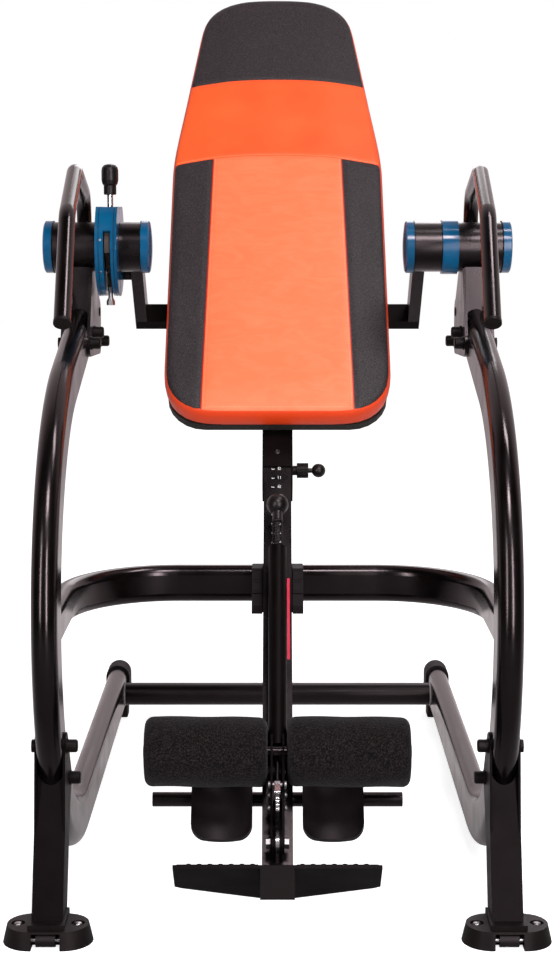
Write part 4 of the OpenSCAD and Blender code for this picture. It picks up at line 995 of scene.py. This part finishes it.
def floor():
    """A pale floor that keeps a soft shadow."""
    m, t = blank("pale_floor")
    path = add(t, "ShaderNodeLightPath").outputs
    spot = add(t, "ShaderNodeTexCoord").outputs["Object"]
    depth = add(t, "ShaderNodeSeparateXYZ", {0: spot}).outputs["Y"]
    behind = ramp(t, calc(t, "MULTIPLY_ADD", depth, 0.25, 0.5), 0.3, 0.65, grey(0.0), grey(1.0))
    glossy = path["Is Glossy Ray"]
    mirrored = calc(t, "MULTIPLY", glossy, calc(t, "MULTIPLY", behind, FLOOR_IN_GLOSS))
    ray = calc(t, "MAXIMUM", path["Is Camera Ray"], mirrored)
    # gloss sees the front of the room as dim
    before = calc(t, "MULTIPLY", glossy, calc(t, "SUBTRACT", 1.0, behind))
    matt = add(t, "ShaderNodeBsdfDiffuse", {"Color": calc(t, "MULTIPLY_ADD", before, FLOOR_DIMMING, FLOOR_TONE)})
    # the floor reads as plain white away from the object, and keeps the object's shadow round the feet
    far = add(t, "ShaderNodeVectorMath", {0: spot}, operation="LENGTH").outputs["Value"]
    glow = ramp(t, calc(t, "MULTIPLY", far, 0.25), 0.16, 0.42, grey(0.8), grey(1.0))
    cast = blend(t, glossy, grey(1.0), linear(FLOOR_CAST))
    lit = add(t, "ShaderNodeEmission", {"Color": cast, "Strength": glow})
    both = add(t, "ShaderNodeAddShader", {0: matt.outputs[0], 1: lit.outputs[0]})
    mix = add(t, "ShaderNodeMixShader", {0: ray, 1: matt.outputs[0], 2: both.outputs[0]})
    add(t, "ShaderNodeOutputMaterial", {"Surface": mix.outputs[0]})
    s = FLOOR_HALF
    piece("floor", [(-s, -s, 0), (s, -s, 0), (s, s, 0), (-s, s, 0)], [(0, 1, 2, 3)], m, smooth=False)


def backdrop():
    """A white backdrop behind the object, with a dim room before it."""
    world = bpy.data.worlds.new("studio")
    bpy.context.scene.world = world
    world.use_nodes = True
    t = world.node_tree
    t.nodes.clear()
    path = add(t, "ShaderNodeLightPath").outputs
    way = add(t, "ShaderNodeSeparateXYZ", {0: add(t, "ShaderNodeTexCoord").outputs["Generated"]}).outputs["Y"]
    wall = ramp(t, calc(t, "MULTIPLY_ADD", way, 0.5, 0.5), 0.46, 0.70, grey(0.02), linear(BACKDROP_CAST))
    seen = calc(t, "MAXIMUM", path["Is Camera Ray"], path["Is Transmission Ray"])
    lights = ((grey(1.0), DIM_ROOM), (grey(1.0), WHITE), (wall, BACKDROP_IN_GLOSS))
    dim, white, shown = [add(t, "ShaderNodeBackground", {"Color": color, "Strength": strength}).outputs[0]
                         for color, strength in lights]
    mirrored = add(t, "ShaderNodeMixShader", {0: path["Is Glossy Ray"], 1: dim, 2: shown}).outputs[0]
    mix = add(t, "ShaderNodeMixShader", {0: seen, 1: mirrored, 2: white})
    add(t, "ShaderNodeOutputWorld", {"Surface": mix.outputs[0]})


def lamp(name, at, aim, size, power, shape=(1, 1)):
    """A soft rectangular lamp turned to what it aims at."""
    data = bpy.data.lights.new(name, "AREA")
    data.shape = "RECTANGLE"
    data.size, data.size_y = size * shape[0], size * shape[1]
    data.energy = power
    obj = bpy.data.objects.new(name, data)
    obj.location = at
    obj.rotation_euler = (Vector(aim) - Vector(at)).to_track_quat("-Z", "Y").to_euler()
    bpy.context.collection.objects.link(obj)


CAMERA_AT, CAMERA_DIP, LENS = (0, -3.109, 1.040), 8.3, 120


def camera():
    """A long lens in front of the object, a little above its pivots, dipped by a few degrees."""
    data = bpy.data.cameras.new("camera")
    data.sensor_fit = "HORIZONTAL"
    data.sensor_width = 36
    data.lens = LENS
    data.clip_end = 60
    obj = bpy.data.objects.new("camera", data)
    obj.location = CAMERA_AT
    obj.rotation_euler = (math.radians(90 - CAMERA_DIP), 0, 0)
    bpy.context.collection.objects.link(obj)
    bpy.context.scene.camera = obj


floor()
backdrop()
lamp("key", (1.05, -3.3, 1.3), (0, 0, 0.9), 1.0, 66, (0.42, 2.0))
lamp("fill", (-1.6, -3.0, 1.4), (0, 0, 0.9), 1.0, 40, (0.4, 1.9))
lamp("front_top", (0.45, -2.4, 3.2), (0, -0.1, 0.8), 0.7, 58, (1.2, 0.9))
lamp("top", (1.0, -0.5, 3.3), (0, 0, 0.9), 0.8, 26, (0.6, 1.1))
lamp("rear", (0.4, 3.0, 2.4), (0, 0, 0.6), 1.8, 26)
camera()
bpy.context.scene.view_settings.view_transform = "Standard"
